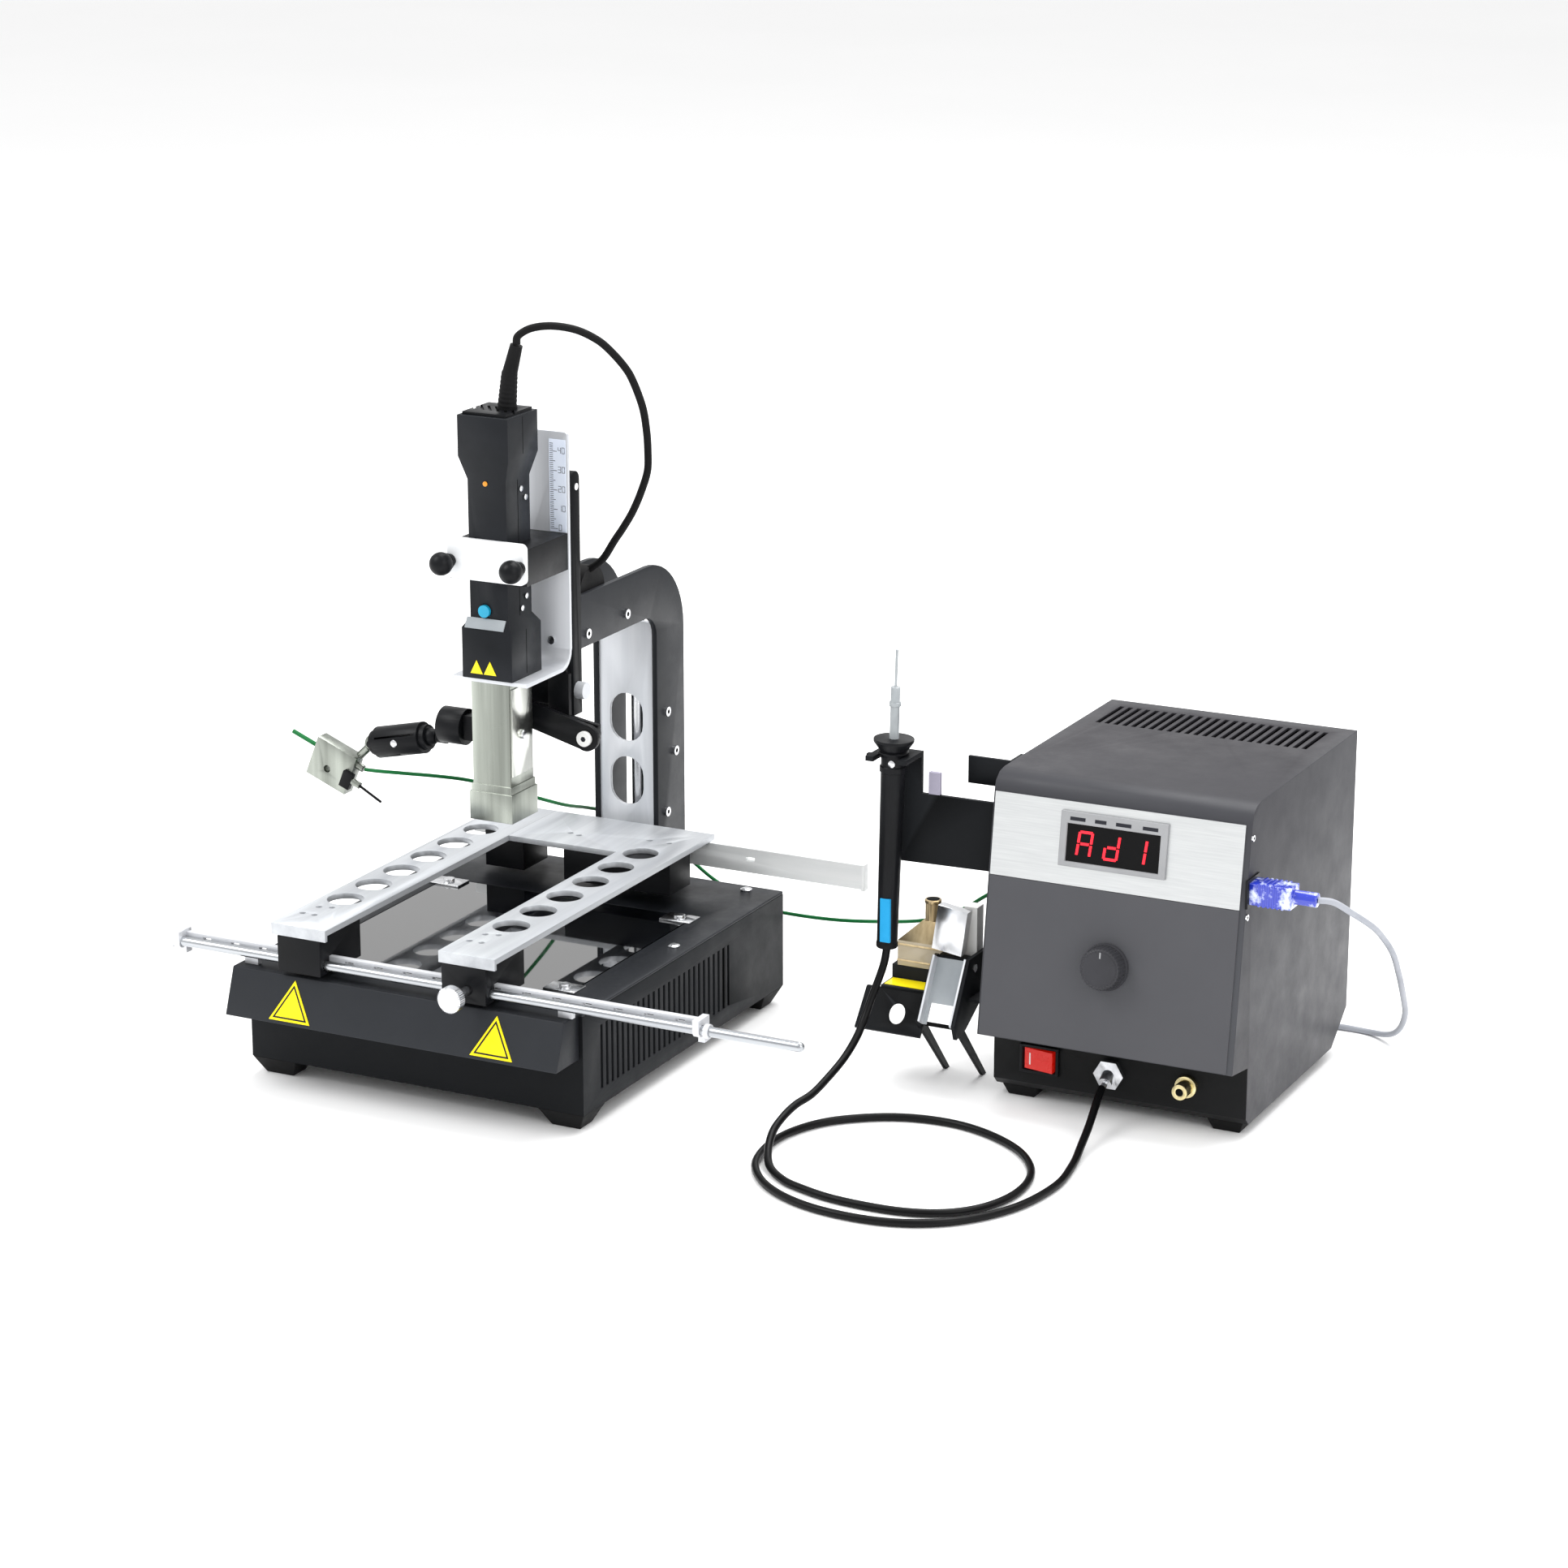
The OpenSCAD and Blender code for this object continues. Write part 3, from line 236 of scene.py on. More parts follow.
LOOKS = {
    "black_paint": painted("black_paint", "#090a0b", "#0e0f11", rough=0.45, worn_code="#2c2e31", gloss=0.06),
    "cover_paint": painted("cover_paint", "#15171a", "#1c1e22", rough=0.4, worn_code="#44464a", gloss=0.1),
    "column_paint": painted("column_paint", "#16181b", "#1d1f23", rough=0.4, worn_code="#4a4c50"),
    "unit_paint": painted("unit_paint", "#29282c", "#302f33", rough=0.4),
    # Near black for the lower front of the control unit: painted shade under the overhanging sloped face.
    "recess_painted_shade": painted("recess_painted_shade", "#08090a", "#0d0e0f", rough=0.5, worn_code="#2a2a2c"),
    "arm_metal": metal("arm_metal", "#c9cccf", "#acafb4", 0.42, ALONG_Y, metallic=0.5),
    "strip_metal": metal("strip_metal", "#dcdde0", "#c6c8cc", 0.42, ALONG_X, metallic=0.45),
    # Near white and barely metallic: the rear strip's aluminium with a painted reflection of the bright
    # surroundings.
    "rear_metal_painted_reflection": metal("rear_metal_painted_reflection", "#f4f5f5", "#e2e5e5", 0.42, ALONG_X, metallic=0.08),
    "rod_metal": metal("rod_metal", "#c4c7ca", "#9a9da2", 0.22, ALONG_X, bump=0.02),
    "sheet_metal": metal("sheet_metal", "#d6d8dc", "#c9ccd1", 0.45, ALONG_Z, metallic=0.5),
    "panel_metal": metal("panel_metal", "#d2d4d4", "#c4c6c7", 0.42, ALONG_X, scale=1400.0),
    "white_paint": painted("white_paint", "#e2e5e8", "#eceef0", rough=0.35, bump=0.05, worn_code="#ffffff"),
    "polished": metal("polished", "#ececee", "#c8cacd", 0.2, (1, 1, 1), bump=0.02),
    "stained": metal("stained", "#acb1a9", "#7f837c", 0.24, ALONG_Z),
    "nozzle_bright": metal("nozzle_bright", "#e6e8e2", "#c6c8c2", 0.18, ALONG_Z),
    "black_plastic": plastic("black_plastic", "#0b0c0e", "#131417", rough=0.36),
    "head_plastic": plastic("head_plastic", "#17191c", "#1f2125", rough=0.34),
    "knob_plastic": plastic("knob_plastic", "#303033", "#3c3c40", rough=0.38),
    "rubber": plastic("rubber", "#0b0b0c", "#131314", rough=0.6, bump=0.15),
    "hose": plastic("hose", "#060607", "#0c0c0d", rough=0.35, bump=0.05),
    # Blue clear plastic of the USB plugs, with painted bright patches of light.
    "blue_plastic": plastic_with_painted_light("blue_plastic", "#1a2fae", "#cfd8fb", 140.0),
    "blue_label": plastic("blue_label", "#1787bd", "#279fd6", rough=0.4),
    "button_blue": plastic("button_blue", "#128fb4", "#28aed0", rough=0.25, coat=0.5),
    "green_cord": plastic("green_cord", "#0d5529", "#1c763e", rough=0.35),
    "grey_cord": plastic("grey_cord", "#8d9098", "#a6a9b0", rough=0.4),
    "lilac_plastic": plastic("lilac_plastic", "#8f8b9c", "#a5a1b1", rough=0.35),
    "white_plastic": plastic("white_plastic", "#dcdcda", "#eeeeec", rough=0.3, coat=0.3),
    "clear_plastic": plastic("clear_plastic", "#7d8285", "#a9aeb1", rough=0.15, coat=0.8),
    "grey_print": painted("grey_print", "#3b393c", "#434144", rough=0.4, bump=0.05),
    "bezel": plastic("bezel", "#8b8c8e", "#98999b", rough=0.4),
    "trim": plastic("trim", "#8e9498", "#a4a9ad", rough=0.35),
    "yellow": plastic("yellow", "#efd800", "#fbe820", rough=0.35, coat=0.4),
    "amber": plastic("amber", "#c77a20", "#e09a30", rough=0.25, coat=0.5),
    "ruler": plastic("ruler", "#d3dcec", "#e2e9f5", rough=0.35),
    "ink": plastic("ink", "#1c1d22", "#2a2b31", rough=0.5),
    # Near black for seams, and for the discs and sheets that fill holes and mouths: painted shade there.
    "dark_hole": plastic("dark_hole", "#020202", "#060606", rough=0.8),
    "brass": metal("brass", "#efe4ba", "#cdbd86", 0.25, (1, 1, 1)),
    "chrome": metal("chrome", "#e8e9ec", "#b9bbc0", 0.14, (1, 1, 1), bump=0.02),
    "glass": dark_glass("glass"),
    "window": plastic("window", "#020203", "#060607", rough=0.25),
    "red_light": glowing("red_light", "#f01428", 1.1),
    "red_switch": glowing("red_switch", "#b81206", 0.45),
    "fired": metal("fired", "#cdbb96", "#8f7a58", 0.32, ALONG_Z, bump=0.1),
    "smoked": plastic("smoked", "#a79c88", "#beb29b", rough=0.2, coat=0.5),
}


def dress(obj, look):
    obj.data.materials.clear()
    obj.data.materials.append(LOOKS[look])


# ---------- Making pieces ----------

def link(name, mesh):
    obj = bpy.data.objects.new(name, mesh)
    bpy.context.scene.collection.objects.link(obj)
    return obj


def finish_piece(obj, look, body, bevel=0.0, segments=2, smooth=True):
    """Gives a mesh its material and body, and rounds its edges."""
    dress(obj, look)
    if smooth:
        obj.data.shade_smooth()
    if bevel > 0:
        rounding = obj.modifiers.new("bevel", "BEVEL")
        rounding.width = bevel
        rounding.segments = segments
        rounding.limit_method = "ANGLE"
        rounding.angle_limit = math.radians(35)
        rounding.harden_normals = True
    elif smooth:
        obj.data.set_sharp_from_angle(angle=math.radians(35))
    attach(obj, body)
    return obj


def node_body(node):
    return frame["nodes"][node]["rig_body"]


def refined(node, look, bevel, segments=2, zones=()):
    """A copy of a CAD node with rounded edges, which stands for it.

    Each zone is a second look and a test, in millimetres, for the faces that take it.
    """
    mesh = frame["nodes"][node].data.copy()
    mesh.name = node + "_look"
    b = bmesh.new()
    b.from_mesh(mesh)
    bmesh.ops.remove_doubles(b, verts=b.verts, dist=1e-6)
    bmesh.ops.dissolve_limit(b, angle_limit=math.radians(1), verts=b.verts, edges=b.edges)
    b.to_mesh(mesh)
    b.free()
    obj = link(node + "_look", mesh)
    finish_piece(obj, look, node_body(node), bevel, segments)
    for zone_look, test in zones:
        obj.data.materials.append(LOOKS[zone_look])
        index = len(obj.data.materials) - 1
        for face in obj.data.polygons:
            if test(face.center / MM, face.normal):
                face.material_index = index
    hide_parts(node)
    return obj


def boxes(name, spans, look, like, bevel=0.15, turn=None):
    """One piece of boxes, each given by its low and high corner in millimetres, that rides with a node."""
    mesh = bpy.data.meshes.new(name)
    b = bmesh.new()
    for low, high in spans:
        made = bmesh.ops.create_cube(b, size=1.0)["verts"]
        low, high = Vector(low), Vector(high)
        for v in made:
            v.co = (low + high) / 2 + Vector(v.co[i] * (high[i] - low[i]) for i in range(3))
    if turn:
        b.transform(turn)
    b.transform(Matrix.Scale(MM, 4))
    b.to_mesh(mesh)
    b.free()
    return finish_piece(link(name, mesh), look, node_body(like), bevel * MM)


def lathe(name, profile, place, axis, look, like, sides=40, ribs=0, rib_depth=0.0):
    """A turned piece: radius and height pairs round an axis from a place, with ribs along it if wanted."""
    turn = Vector(axis).normalized().to_track_quat("Z", "Y").to_matrix().to_4x4()
    turn.translation = Vector(place)
    mesh = bpy.data.meshes.new(name)
    b = bmesh.new()
    rings = []
    for radius, height in profile:
        ring = []
        for k in range(sides):
            a = 2 * math.pi * k / sides
            ribbed = ribs and radius > rib_depth * 3
            r = radius - (rib_depth * (0.5 + 0.5 * math.cos(ribs * a)) if ribbed else 0.0)
            ring.append(b.verts.new((r * math.cos(a), r * math.sin(a), height)))
        rings.append(ring)
    for lower, upper in zip(rings, rings[1:]):
        for k in range(sides):
            m = (k + 1) % sides
            b.faces.new((lower[k], lower[m], upper[m], upper[k]))
    b.faces.new(rings[0][::-1])
    b.faces.new(rings[-1])
    b.transform(Matrix.Scale(MM, 4) @ turn)
    b.to_mesh(mesh)
    b.free()
    return finish_piece(link(name, mesh), look, node_body(like))


def span_of(node):
    """Low and high corner of a CAD node, in millimetres."""
    low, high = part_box(node)
    return Vector(low) / MM, Vector(high) / MM


# ---------- Cords ----------

HEAD_CORD_D = 4.0
HOSE_D = 4.0
LEAD_D = 2.0
USB_D = 3.2
HEAD_CORD_MM = [
    (-117.8, -30, 370.6), (-116.9, -29.9, 374.6), (-111, -27, 378.4), (-102, -22, 379.5), (-93, -14, 377),
    (-85, -8, 372), (-80, -3, 366), (-75, 3, 357), (-73, 8, 349), (-71, 14, 335), (-71, 18, 322),
    (-72, 21, 311), (-74, 24, 300), (-79, 26, 288), (-85, 28, 277), (-91, 29, 268), (-97, 30, 260),
    (-104, 31, 250), (-110, 31, 245), (-115, 31, 242),
]
HOSE_MM = [
    (73.35, 0, 74.4), (72.5, -1, 67), (71, -4, 59), (69, -9, 49), (68, -15, 40), (68, -24, 33), (67, -36, 26),
    (66, -52, 21), (65, -68, 17.5), (62, -80, 15.5), (61, -92, 13), (62, -105, 10), (66, -118, 5.5),
    (73, -130, 2.8), (84, -140, 2.2), (96, -146, 2.2), (119, -152, 2.2), (150, -152, 2.2), (172, -144, 2.2),
    (186, -128, 2.2), (192, -105, 2.2), (188, -80, 2.2), (173, -58, 2.2), (150, -43, 2.2), (125, -37, 2.2),
    (98, -42, 2.2), (74, -59, 2.2), (62, -80, 2.2), (59, -103, 2.2), (65, -130, 2.2), (83, -152, 2.2),
    (109, -165, 2.2), (139, -168, 2.2), (164, -162, 2.2), (184, -147, 2.2), (199, -122, 2.2),
    (205, -90, 2.2), (202, -62, 2.4), (198, -42, 4.5), (195, -25, 8.5), (192.6, -12, 13), (191.4, -4, 16.6),
    (191.2, 0.5, 19),
]
LEAD_MM = [
    (-214, -30, 138), (-206, -29.4, 138), (-194, -24, 137), (-181, -12, 134), (-171, 2, 129.5),
    (-163, 25, 120), (-159, 55, 107), (-159, 85, 95), (-160, 112, 86), (-152, 129, 79), (-130, 134, 68),
    (-112, 134, 59), (-96, 132, 50), (-81, 128, 45), (-62, 120, 42), (-40, 112, 43), (-4, 100, 48),
    (30, 90, 55), (58, 80, 63), (81, 72, 74), (98, 66, 86), (110, 64, 94), (119, 64, 98),
]
USB_MM = [
    (296, 10, 129), (303, 13, 128), (309, 24, 120), (313, 38, 111), (314, 52, 102), (313, 76, 85),
    (309, 100, 66), (304, 124, 47), (299, 145, 29), (291, 162, 14), (281, 175, 5), (268, 183, 1.7),
    (253, 184, 1.7), (239, 182, 1.7),
]


STEPS = 6


def spline(points, steps):
    """Points along a Catmull-Rom curve, in metres."""
    p = [Vector(q) * MM for q in points]
    out = []
    for i in range(len(p) - 1):
        a, b, c, d = p[max(i - 1, 0)], p[i], p[i + 1], p[min(i + 2, len(p) - 1)]
        for j in range(steps):
            t = j / steps
            out.append(0.5 * (2 * b + (c - a) * t + (2 * a - 5 * b + 4 * c - d) * t ** 2
                              + (3 * b - a - 3 * c + d) * t ** 3))
    return out + [p[-1]]


def tube(name, points, diameter):
    """A round curve through a list of points."""
    curve = bpy.data.curves.new(name, "CURVE")
    curve.dimensions = "3D"
    curve.bevel_depth = diameter / 2
    curve.bevel_resolution = 4
    curve.use_fill_caps = True
    line = curve.splines.new("POLY")
    line.points.add(len(points) - 1)
    for target, p in zip(line.points, points):
        target.co = (*p, 1.0)
    line.use_smooth = True
    return link(name, curve)


def as_mesh(curve):
    """The tube as a mesh piece of the same name."""
    graph = bpy.context.evaluated_depsgraph_get()
    mesh = bpy.data.meshes.new_from_object(curve.evaluated_get(graph))
    name = curve.name
    bpy.data.objects.remove(curve)
    mesh.shade_smooth()
    return link(name, mesh)


def lay_cord(name, route, diameter_mm, look, node, exit_point, tail=(), follows=None, **facts):
    """A cord along its route. With follows it keeps its place in the world and rides with no body; otherwise
    it rides with the root.
    """
    points = spline(route, STEPS) + list(tail)
    cord = as_mesh(tube(name, points, diameter_mm * MM))
    if follows:
        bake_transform(cord)
    else:
        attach(cord, "root")
    dress(cord, look)
    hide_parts(node)
    return cord


COIL_CENTRE = Vector((221, 197, 0))
OUTER_LANES = (22.8, 19.6, 16.4, 13.2)
INNER_LANES = (14.8, 18.0, 21.2)
LAYER_Z = (1.7, 4.7, 7.7, 10.7)
PLUG_TAIL = [(212, 174.4, 9.8), (206, 174.2, 7.2), (200, 174.2, 4.8), (196, 174.2, 4.0)]


def coil_lanes():
    """Radius and height of each turn: layers of turns side by side, one on another."""
    lanes = []
    for k, z in enumerate(LAYER_Z):
        lanes += [(r, z) for r in (INNER_LANES if k % 2 else OUTER_LANES)]
    return lanes


def coil_turns(start, lanes, per_turn=28):
    """Turns of the data lead side by side and on each other, wound from its last laid point."""
    first = Vector(start)
    angle = math.atan2(first.y - COIL_CENTRE.y, first.x - COIL_CENTRE.x)
    out = []
    for k in range(len(lanes) - 1):
        (r0, z0), (r1, z1) = lanes[k], lanes[k + 1]
        for i in range(per_turn):
            t = i / per_turn
            ease = max(0.0, (t - 0.6) / 0.4)
            ease = ease * ease * (3 - 2 * ease)
            r, z = r0 + (r1 - r0) * ease, z0 + (z1 - z0) * ease
            a = angle - 2 * math.pi * t
            out.append((COIL_CENTRE + Vector((r * math.cos(a), r * math.sin(a), z))) * MM)
    r, z = lanes[-1]
    last = -math.pi / 2
    for i in range(5):
        a = angle + (last - angle) * i / 4
        out.append((COIL_CENTRE + Vector((r * math.cos(a), r * math.sin(a), z))) * MM)
    return out + [Vector(p) * MM for p in PLUG_TAIL]


# Points where the hose and the sensor's lead stop following what moves, passed in follows; lay_cord does not
# use them.
HOSE_HELD = (73.35, 0, 20)
LEAD_HELD = LEAD_MM[6]


def make_cords():
    lay_cord("head_cord_look", HEAD_CORD_MM, HEAD_CORD_D, "rubber", "head_cord", HEAD_CORD_MM[0],
             follows=("head_body", HEAD_CORD_MM[0], HEAD_CORD_MM[-1]),
             far_end="object", stiffness="medium", lay="hanging")
    lay_cord("pen_hose_look", HOSE_MM, HOSE_D, "hose", "pen_hose", HOSE_MM[-1],
             follows=("pen_body", HOSE_MM[0], HOSE_HELD),
             far_end="tool", stiffness="medium", lay="loose", with_pieces=[frame["nodes"]["suction_pen"]])
    lay_cord("sensor_lead_look", LEAD_MM, LEAD_D, "green_cord", "sensor_lead", LEAD_MM[-1],
             follows=("head_body", LEAD_MM[0], LEAD_HELD),
             far_end="tool", stiffness="limp", lay="loose", with_pieces=[frame["nodes"]["sensor_holder"]])


make_cords()
turns = coil_turns(USB_MM[-1], coil_lanes())
usb = lay_cord("usb_lead_look", USB_MM, USB_D, "grey_cord", "usb_lead", USB_MM[0], tail=turns,
               far_end="plug", stiffness="medium", lay="coiled", with_pieces=[frame["nodes"]["usb_plugs"]])
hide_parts("usb_coil")

# ---------- Housings ----------

WORK_X = -128.0


# Front faces of the control unit below its sloping face, which take painted shade.
def is_recess(c, n):
    return c.y < 17 and c.z < 39.5 and n.y < -0.3


def is_inside_channel(c, n):
    return abs(n.x) < 0.5 and 92 < c.x < 107.5


def is_nozzle_flange(c, n):
    return c.x > WORK_X + 11.01 and 149 < c.z < 197


ZONES = {
    "unit_shell": (("recess_painted_shade", is_recess),),
    "rack_channel": (("trim", is_inside_channel),),
    "nozzle": (("nozzle_bright", is_nozzle_flange),),
    "spare_nozzles": (
        ("smoked", lambda c, n: c.y > 30.5 and c.x < 98 and c.z < 68.1),
        ("polished", lambda c, n: c.y < 30.5),
        ("white_plastic", lambda c, n: c.x > 101),
    ),
    "sensor_holder": (
        ("black_plastic", lambda c, n: c.y < -34.1 and not -217.5 < c.x < -213.5),
        ("green_cord", lambda c, n: c.x < -245.0),
    ),
    "head_trim": (
        ("yellow", lambda c, n: c.z < 215 and c.y < -40),
        ("amber", lambda c, n: 300 < c.z < 303 and c.y < -44),
        ("polished", lambda c, n: c.x > WORK_X + 10.9),
        ("trim", lambda c, n: 226 < c.z < 233),
    ),
    "unit_ports": (
        ("brass", lambda c, n: c.x > 222 and c.y < 13),
        ("chrome", lambda c, n: 175 < c.x < 205 and c.y < 13),
    ),
    "usb_plugs": (
        ("black_plastic", lambda c, n: c.x < 220),
        ("polished", lambda c, n: c.x < 165.9),
    ),
    "suction_pen": (("clear_plastic", lambda c, n: c.z > 187.5),),
    "sensor_mount": (("white_plastic", lambda c, n: c.y < -12.45),),
}

# Each housing's node, its look, and the width of its rounded edges in millimetres.
ROUNDED = (
    ("base_tray", "black_paint", 0.6), ("base_cover", "cover_paint", 0.6),
    ("glass_clips", "polished", 0.2), ("reflector_tray", "polished", 0.2),
    ("front_strip", "strip_metal", 0.2), ("rail_clips", "strip_metal", 0.3),
    ("rear_strip", "rear_metal_painted_reflection", 0.3), ("left_arm", "arm_metal", 0.3),
    ("right_arm", "arm_metal", 0.3), ("left_blocks", "black_plastic", 0.6),
    ("right_blocks", "black_plastic", 0.6), ("column_plates", "column_paint", 0.35),
    ("column_panel", "sheet_metal", 0.2), ("guide_rail", "black_paint", 0.4),
    ("carriage", "black_plastic", 0.4), ("head_bracket", "sheet_metal", 0.3),
    ("clamp_yoke", "black_plastic", 0.8), ("clamp_plate", "white_paint", 0.5),
    ("head_shell", "head_plastic", 1.2), ("nozzle", "stained", 0.25),
    ("unit_shell", "unit_paint", 0.8), ("display_bezel", "bezel", 0.3),
    ("switch_frame", "black_plastic", 0.3), ("nozzle_rack", "black_paint", 0.2),
    ("rack_channel", "sheet_metal", 0.15), ("spare_nozzles", "fired", 0.4),
    ("pen_holder", "black_paint", 0.2), ("sensor_holder", "stained", 0.3), ("feet", "rubber", 0.5),
    ("sensor_arm", "black_plastic", 0.3), ("sensor_link", "black_plastic", 0.3),
    ("sensor_mount", "black_plastic", 0.3), ("head_vent_cap", "black_plastic", 0.15),
    ("head_trim", "white_plastic", 0.1), ("unit_ports", "black_plastic", 0.2),
    ("usb_plugs", "blue_plastic", 0.6), ("suction_pen", "black_plastic", 0.2),
)

# The nodes that are shown as they are, with their looks.
PLAIN = (
    ("warning_triangles", "yellow"), ("heater_glass", "glass"), ("front_rod", "rod_metal"),
    ("column_rod", "polished"), ("cord_gland", "rubber"), ("lock_screw", "sheet_metal"),
    ("ruler_strip", "ruler"), ("clamp_knob_left", "black_plastic"),
    ("clamp_knob_right", "black_plastic"), ("head_button", "button_blue"), ("cord_boot", "rubber"),
    ("silver_panel", "panel_metal"), ("grey_panel", "grey_print"), ("display_digits", "red_light"),
    ("switch_rocker", "red_switch"), ("screws", "polished"),
)

for node, look, bevel in ROUNDED:
    refined(node, look, bevel * MM, zones=ZONES.get(node, ()))

for node, look in PLAIN:
    dress(frame["nodes"][node], look)


# ---------- Details of the rework base and the head ----------

def triangle_borders():
    """A dark line inside the edge of each warning triangle, on the sloping front of the cover."""
    foot, top = Vector((0, -150, 38.8)), Vector((0, -141.5, 62.5))
    up = (top - foot).normalized()
    out = Vector((0, -up.z, up.y))
    outer = ((-10.0, 3.2), (10.0, 3.2), (0.0, 20.7))
    inner = ((-8.6, 4.0), (8.6, 4.0), (0.0, 19.1))
    mesh = bpy.data.meshes.new("triangle_borders")
    b = bmesh.new()

    def ring(x, corners, lift):
        origin = Vector((x, 0, 0)) + foot + out * lift
        return [b.verts.new((origin + Vector((u, 0, 0)) + up * v) * MM) for u, v in corners]

    for x in (WORK_X - 59, WORK_X + 58):
        low_out, low_in = ring(x, outer, 0.41), ring(x, inner, 0.41)
        high_out, high_in = ring(x, outer, 0.5), ring(x, inner, 0.5)
        for k in range(3):
            m = (k + 1) % 3
            b.faces.new((high_out[k], high_out[m], high_in[m], high_in[k]))
            b.faces.new((low_out[k], low_in[k], low_in[m], low_out[m]))
            b.faces.new((low_out[k], low_out[m], high_out[m], high_out[k]))
            b.faces.new((low_in[k], high_in[k], high_in[m], low_in[m]))
    b.to_mesh(mesh)
    b.free()
    finish_piece(link("triangle_borders", mesh), "ink", "root",
                 smooth=False)


def screw_sockets():
    """Dark hexagons on the screw heads of the column and the control unit: painted shade in their sockets."""
    plate = span_of("column_plates")[1].x
    for i, (y, z) in enumerate(((62, 213), (20, 212), (106, 149), (115, 125), (105, 93), (105, 30))):
        lathe(f"column_socket_{i}", [(1.3, 0), (1.25, 0.06)], (plate + 1.6, y, z), (1, 0, 0), "dark_hole",
              "screws", sides=6)
    side = span_of("unit_shell")[1].x
    for i, (y, z) in enumerate(((8.6, 155.8), (3.4, 117.3))):
        lathe(f"unit_socket_{i}", [(0.8, 0), (0.75, 0.05)], (side + 0.8, y, z), (1, 0, 0), "dark_hole",
              "screws", sides=6)


def ruler_marks():
    low, high = span_of("ruler_strip")
    spans = []
    count = int(high.z - low.z) - 2
    for i in range(count):
        z = low.z + 1.5 + i
        length = 4.2 if i % 10 == 0 else 3.2 if i % 5 == 0 else 2.0
        spans.append(((low.x + 0.4, low.y - 0.03, z), (low.x + 0.4 + length, low.y + 0.1, z + 0.3)))
    boxes("ruler_marks", spans, "ink", "ruler_strip", bevel=0)


# The bars of a seven-segment digit, each as its left, bottom, right and top.
SEGMENTS = (
    (0, 4.6, 2.6, 5), (2.2, 2.6, 2.6, 4.8), (2.2, 0.2, 2.6, 2.4), (0, 0, 2.6, 0.4),
    (0, 0.2, 0.4, 2.4), (0, 2.6, 0.4, 4.8), (0, 2.3, 2.6, 2.7),
)
DIGITS = {
    "0": (0, 1, 2, 3, 4, 5), "1": (1, 2), "2": (0, 1, 6, 4, 3), "3": (0, 1, 6, 2, 3), "4": (5, 6, 1, 2),
}
DIGIT_SCALE = 0.65


def ruler_numbers():
    low, high = span_of("ruler_strip")
    spans = []
    for tens in range(5):
        for k, digit in enumerate(f"{tens}0" if tens else "0"):
            x, z = low.x + 5.2 + 2.2 * k, low.z + 0.6 + 10 * tens
            if z + 5 > high.z:
                continue
            for i in DIGITS[digit]:
                a, b, c, d = (DIGIT_SCALE * v for v in SEGMENTS[i])
                spans.append(((x + a, low.y - 0.03, z + b), (x + c, low.y + 0.1, z + d)))
    boxes("ruler_numbers", spans, "ink", "ruler_strip", bevel=0)


def boot_ribs():
    """Rings round the lower part of the cord's boot."""
    profile = [(4.2, 0.6)]
    rib_count = 7
    for k in range(rib_count):
        h = 1.0 + 2.3 * k
        r = 4.6 - 0.7 * k / rib_count
        profile += [(r + 0.25, h), (r + 0.25, h + 0.9), (r + 0.05, h + 1.3), (r + 0.05, h + 2.0)]
    tilt = math.radians(6)
    lathe("boot_ribs", profile, (WORK_X + 4, -30, 338), (math.sin(tilt), 0, math.cos(tilt)), "rubber",
          "cord_boot")


def arm_clamp_grip():
    low, high = span_of("arm_clamp_knob")
    centre = (low + high) / 2
    profile = [(5.9, 0), (6.7, 0.7), (6.7, 5.3), (5.9, 6), (2.5, 6.1), (2.5, high.y - low.y)]
    grip = lathe("arm_clamp_look", profile, (centre.x, low.y, centre.z), (0, 1, 0), "polished",
                 "arm_clamp_knob", sides=160, ribs=40, rib_depth=0.35)
    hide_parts("arm_clamp_knob")


def head_details():
    low, high = span_of("head_shell")
    near, far = -33.25, -32.75
    seam = [((high.x - 1.2, near, low.z + 2), (high.x + 0.04, far, 226)),
            ((high.x - 1.2, near, 316), (high.x + 0.04, far, high.z - 1))]
    boxes("head_seam", seam, "dark_hole", "head_shell", bevel=0)
    waist = [((WORK_X + 10, near, 232.5), (WORK_X + 11.04, far, 302.5))]
    boxes("head_waist_seam", waist, "dark_hole", "head_shell", bevel=0)
    lathe("nozzle_screw", [(2.3, 0), (2.0, 0.5), (0.6, 0.7)], (WORK_X + 13.2, -35, 171), (1, 0, 0),
          "polished", "nozzle")
    for side in ("left", "right"):
        a, b = span_of("clamp_knob_" + side)
        c = (a + b) / 2
        lathe(f"grip_ring_{side}", [(3.4, 0), (4.3, 0.4), (4.3, 1.4), (3.6, 1.8)], (c.x, -52.4, c.z),
              (0, 1, 0), "black_plastic", "clamp_knob_" + side)


def sensor_details():
    lathe("barrel_cap", [(3.6, 0), (3.4, 0.9), (2.2, 1.6), (0.4, 1.8)], (-165, -30, 166.1), (-1, 0, 0),
          "polished", "sensor_arm")
    lathe("link_screw", [(1.9, -0.6), (1.9, 0.3), (1.4, 0.6)], (-190.8, -38.2, 157.1), (0, -1, 0),
          "polished", "sensor_link")
    # A polished patch on the lower side of the sensor's ball: a painted highlight.
    lathe("ball_shine", [(0.5, 3.9), (2.6, 3.75), (3.2, 3.3), (0.5, 3.2)], (-208.5, -30, 153.2),
          (-0.72, 0, -0.69), "polished", "sensor_holder")
    # A dark hexagon on the pivot: painted shade in its socket.
    lathe("pivot_slot", [(1.5, 0), (1.4, 0.08)], (-90, -18, 167), (0, -1, 0), "ink", "sensor_mount",
          sides=6)


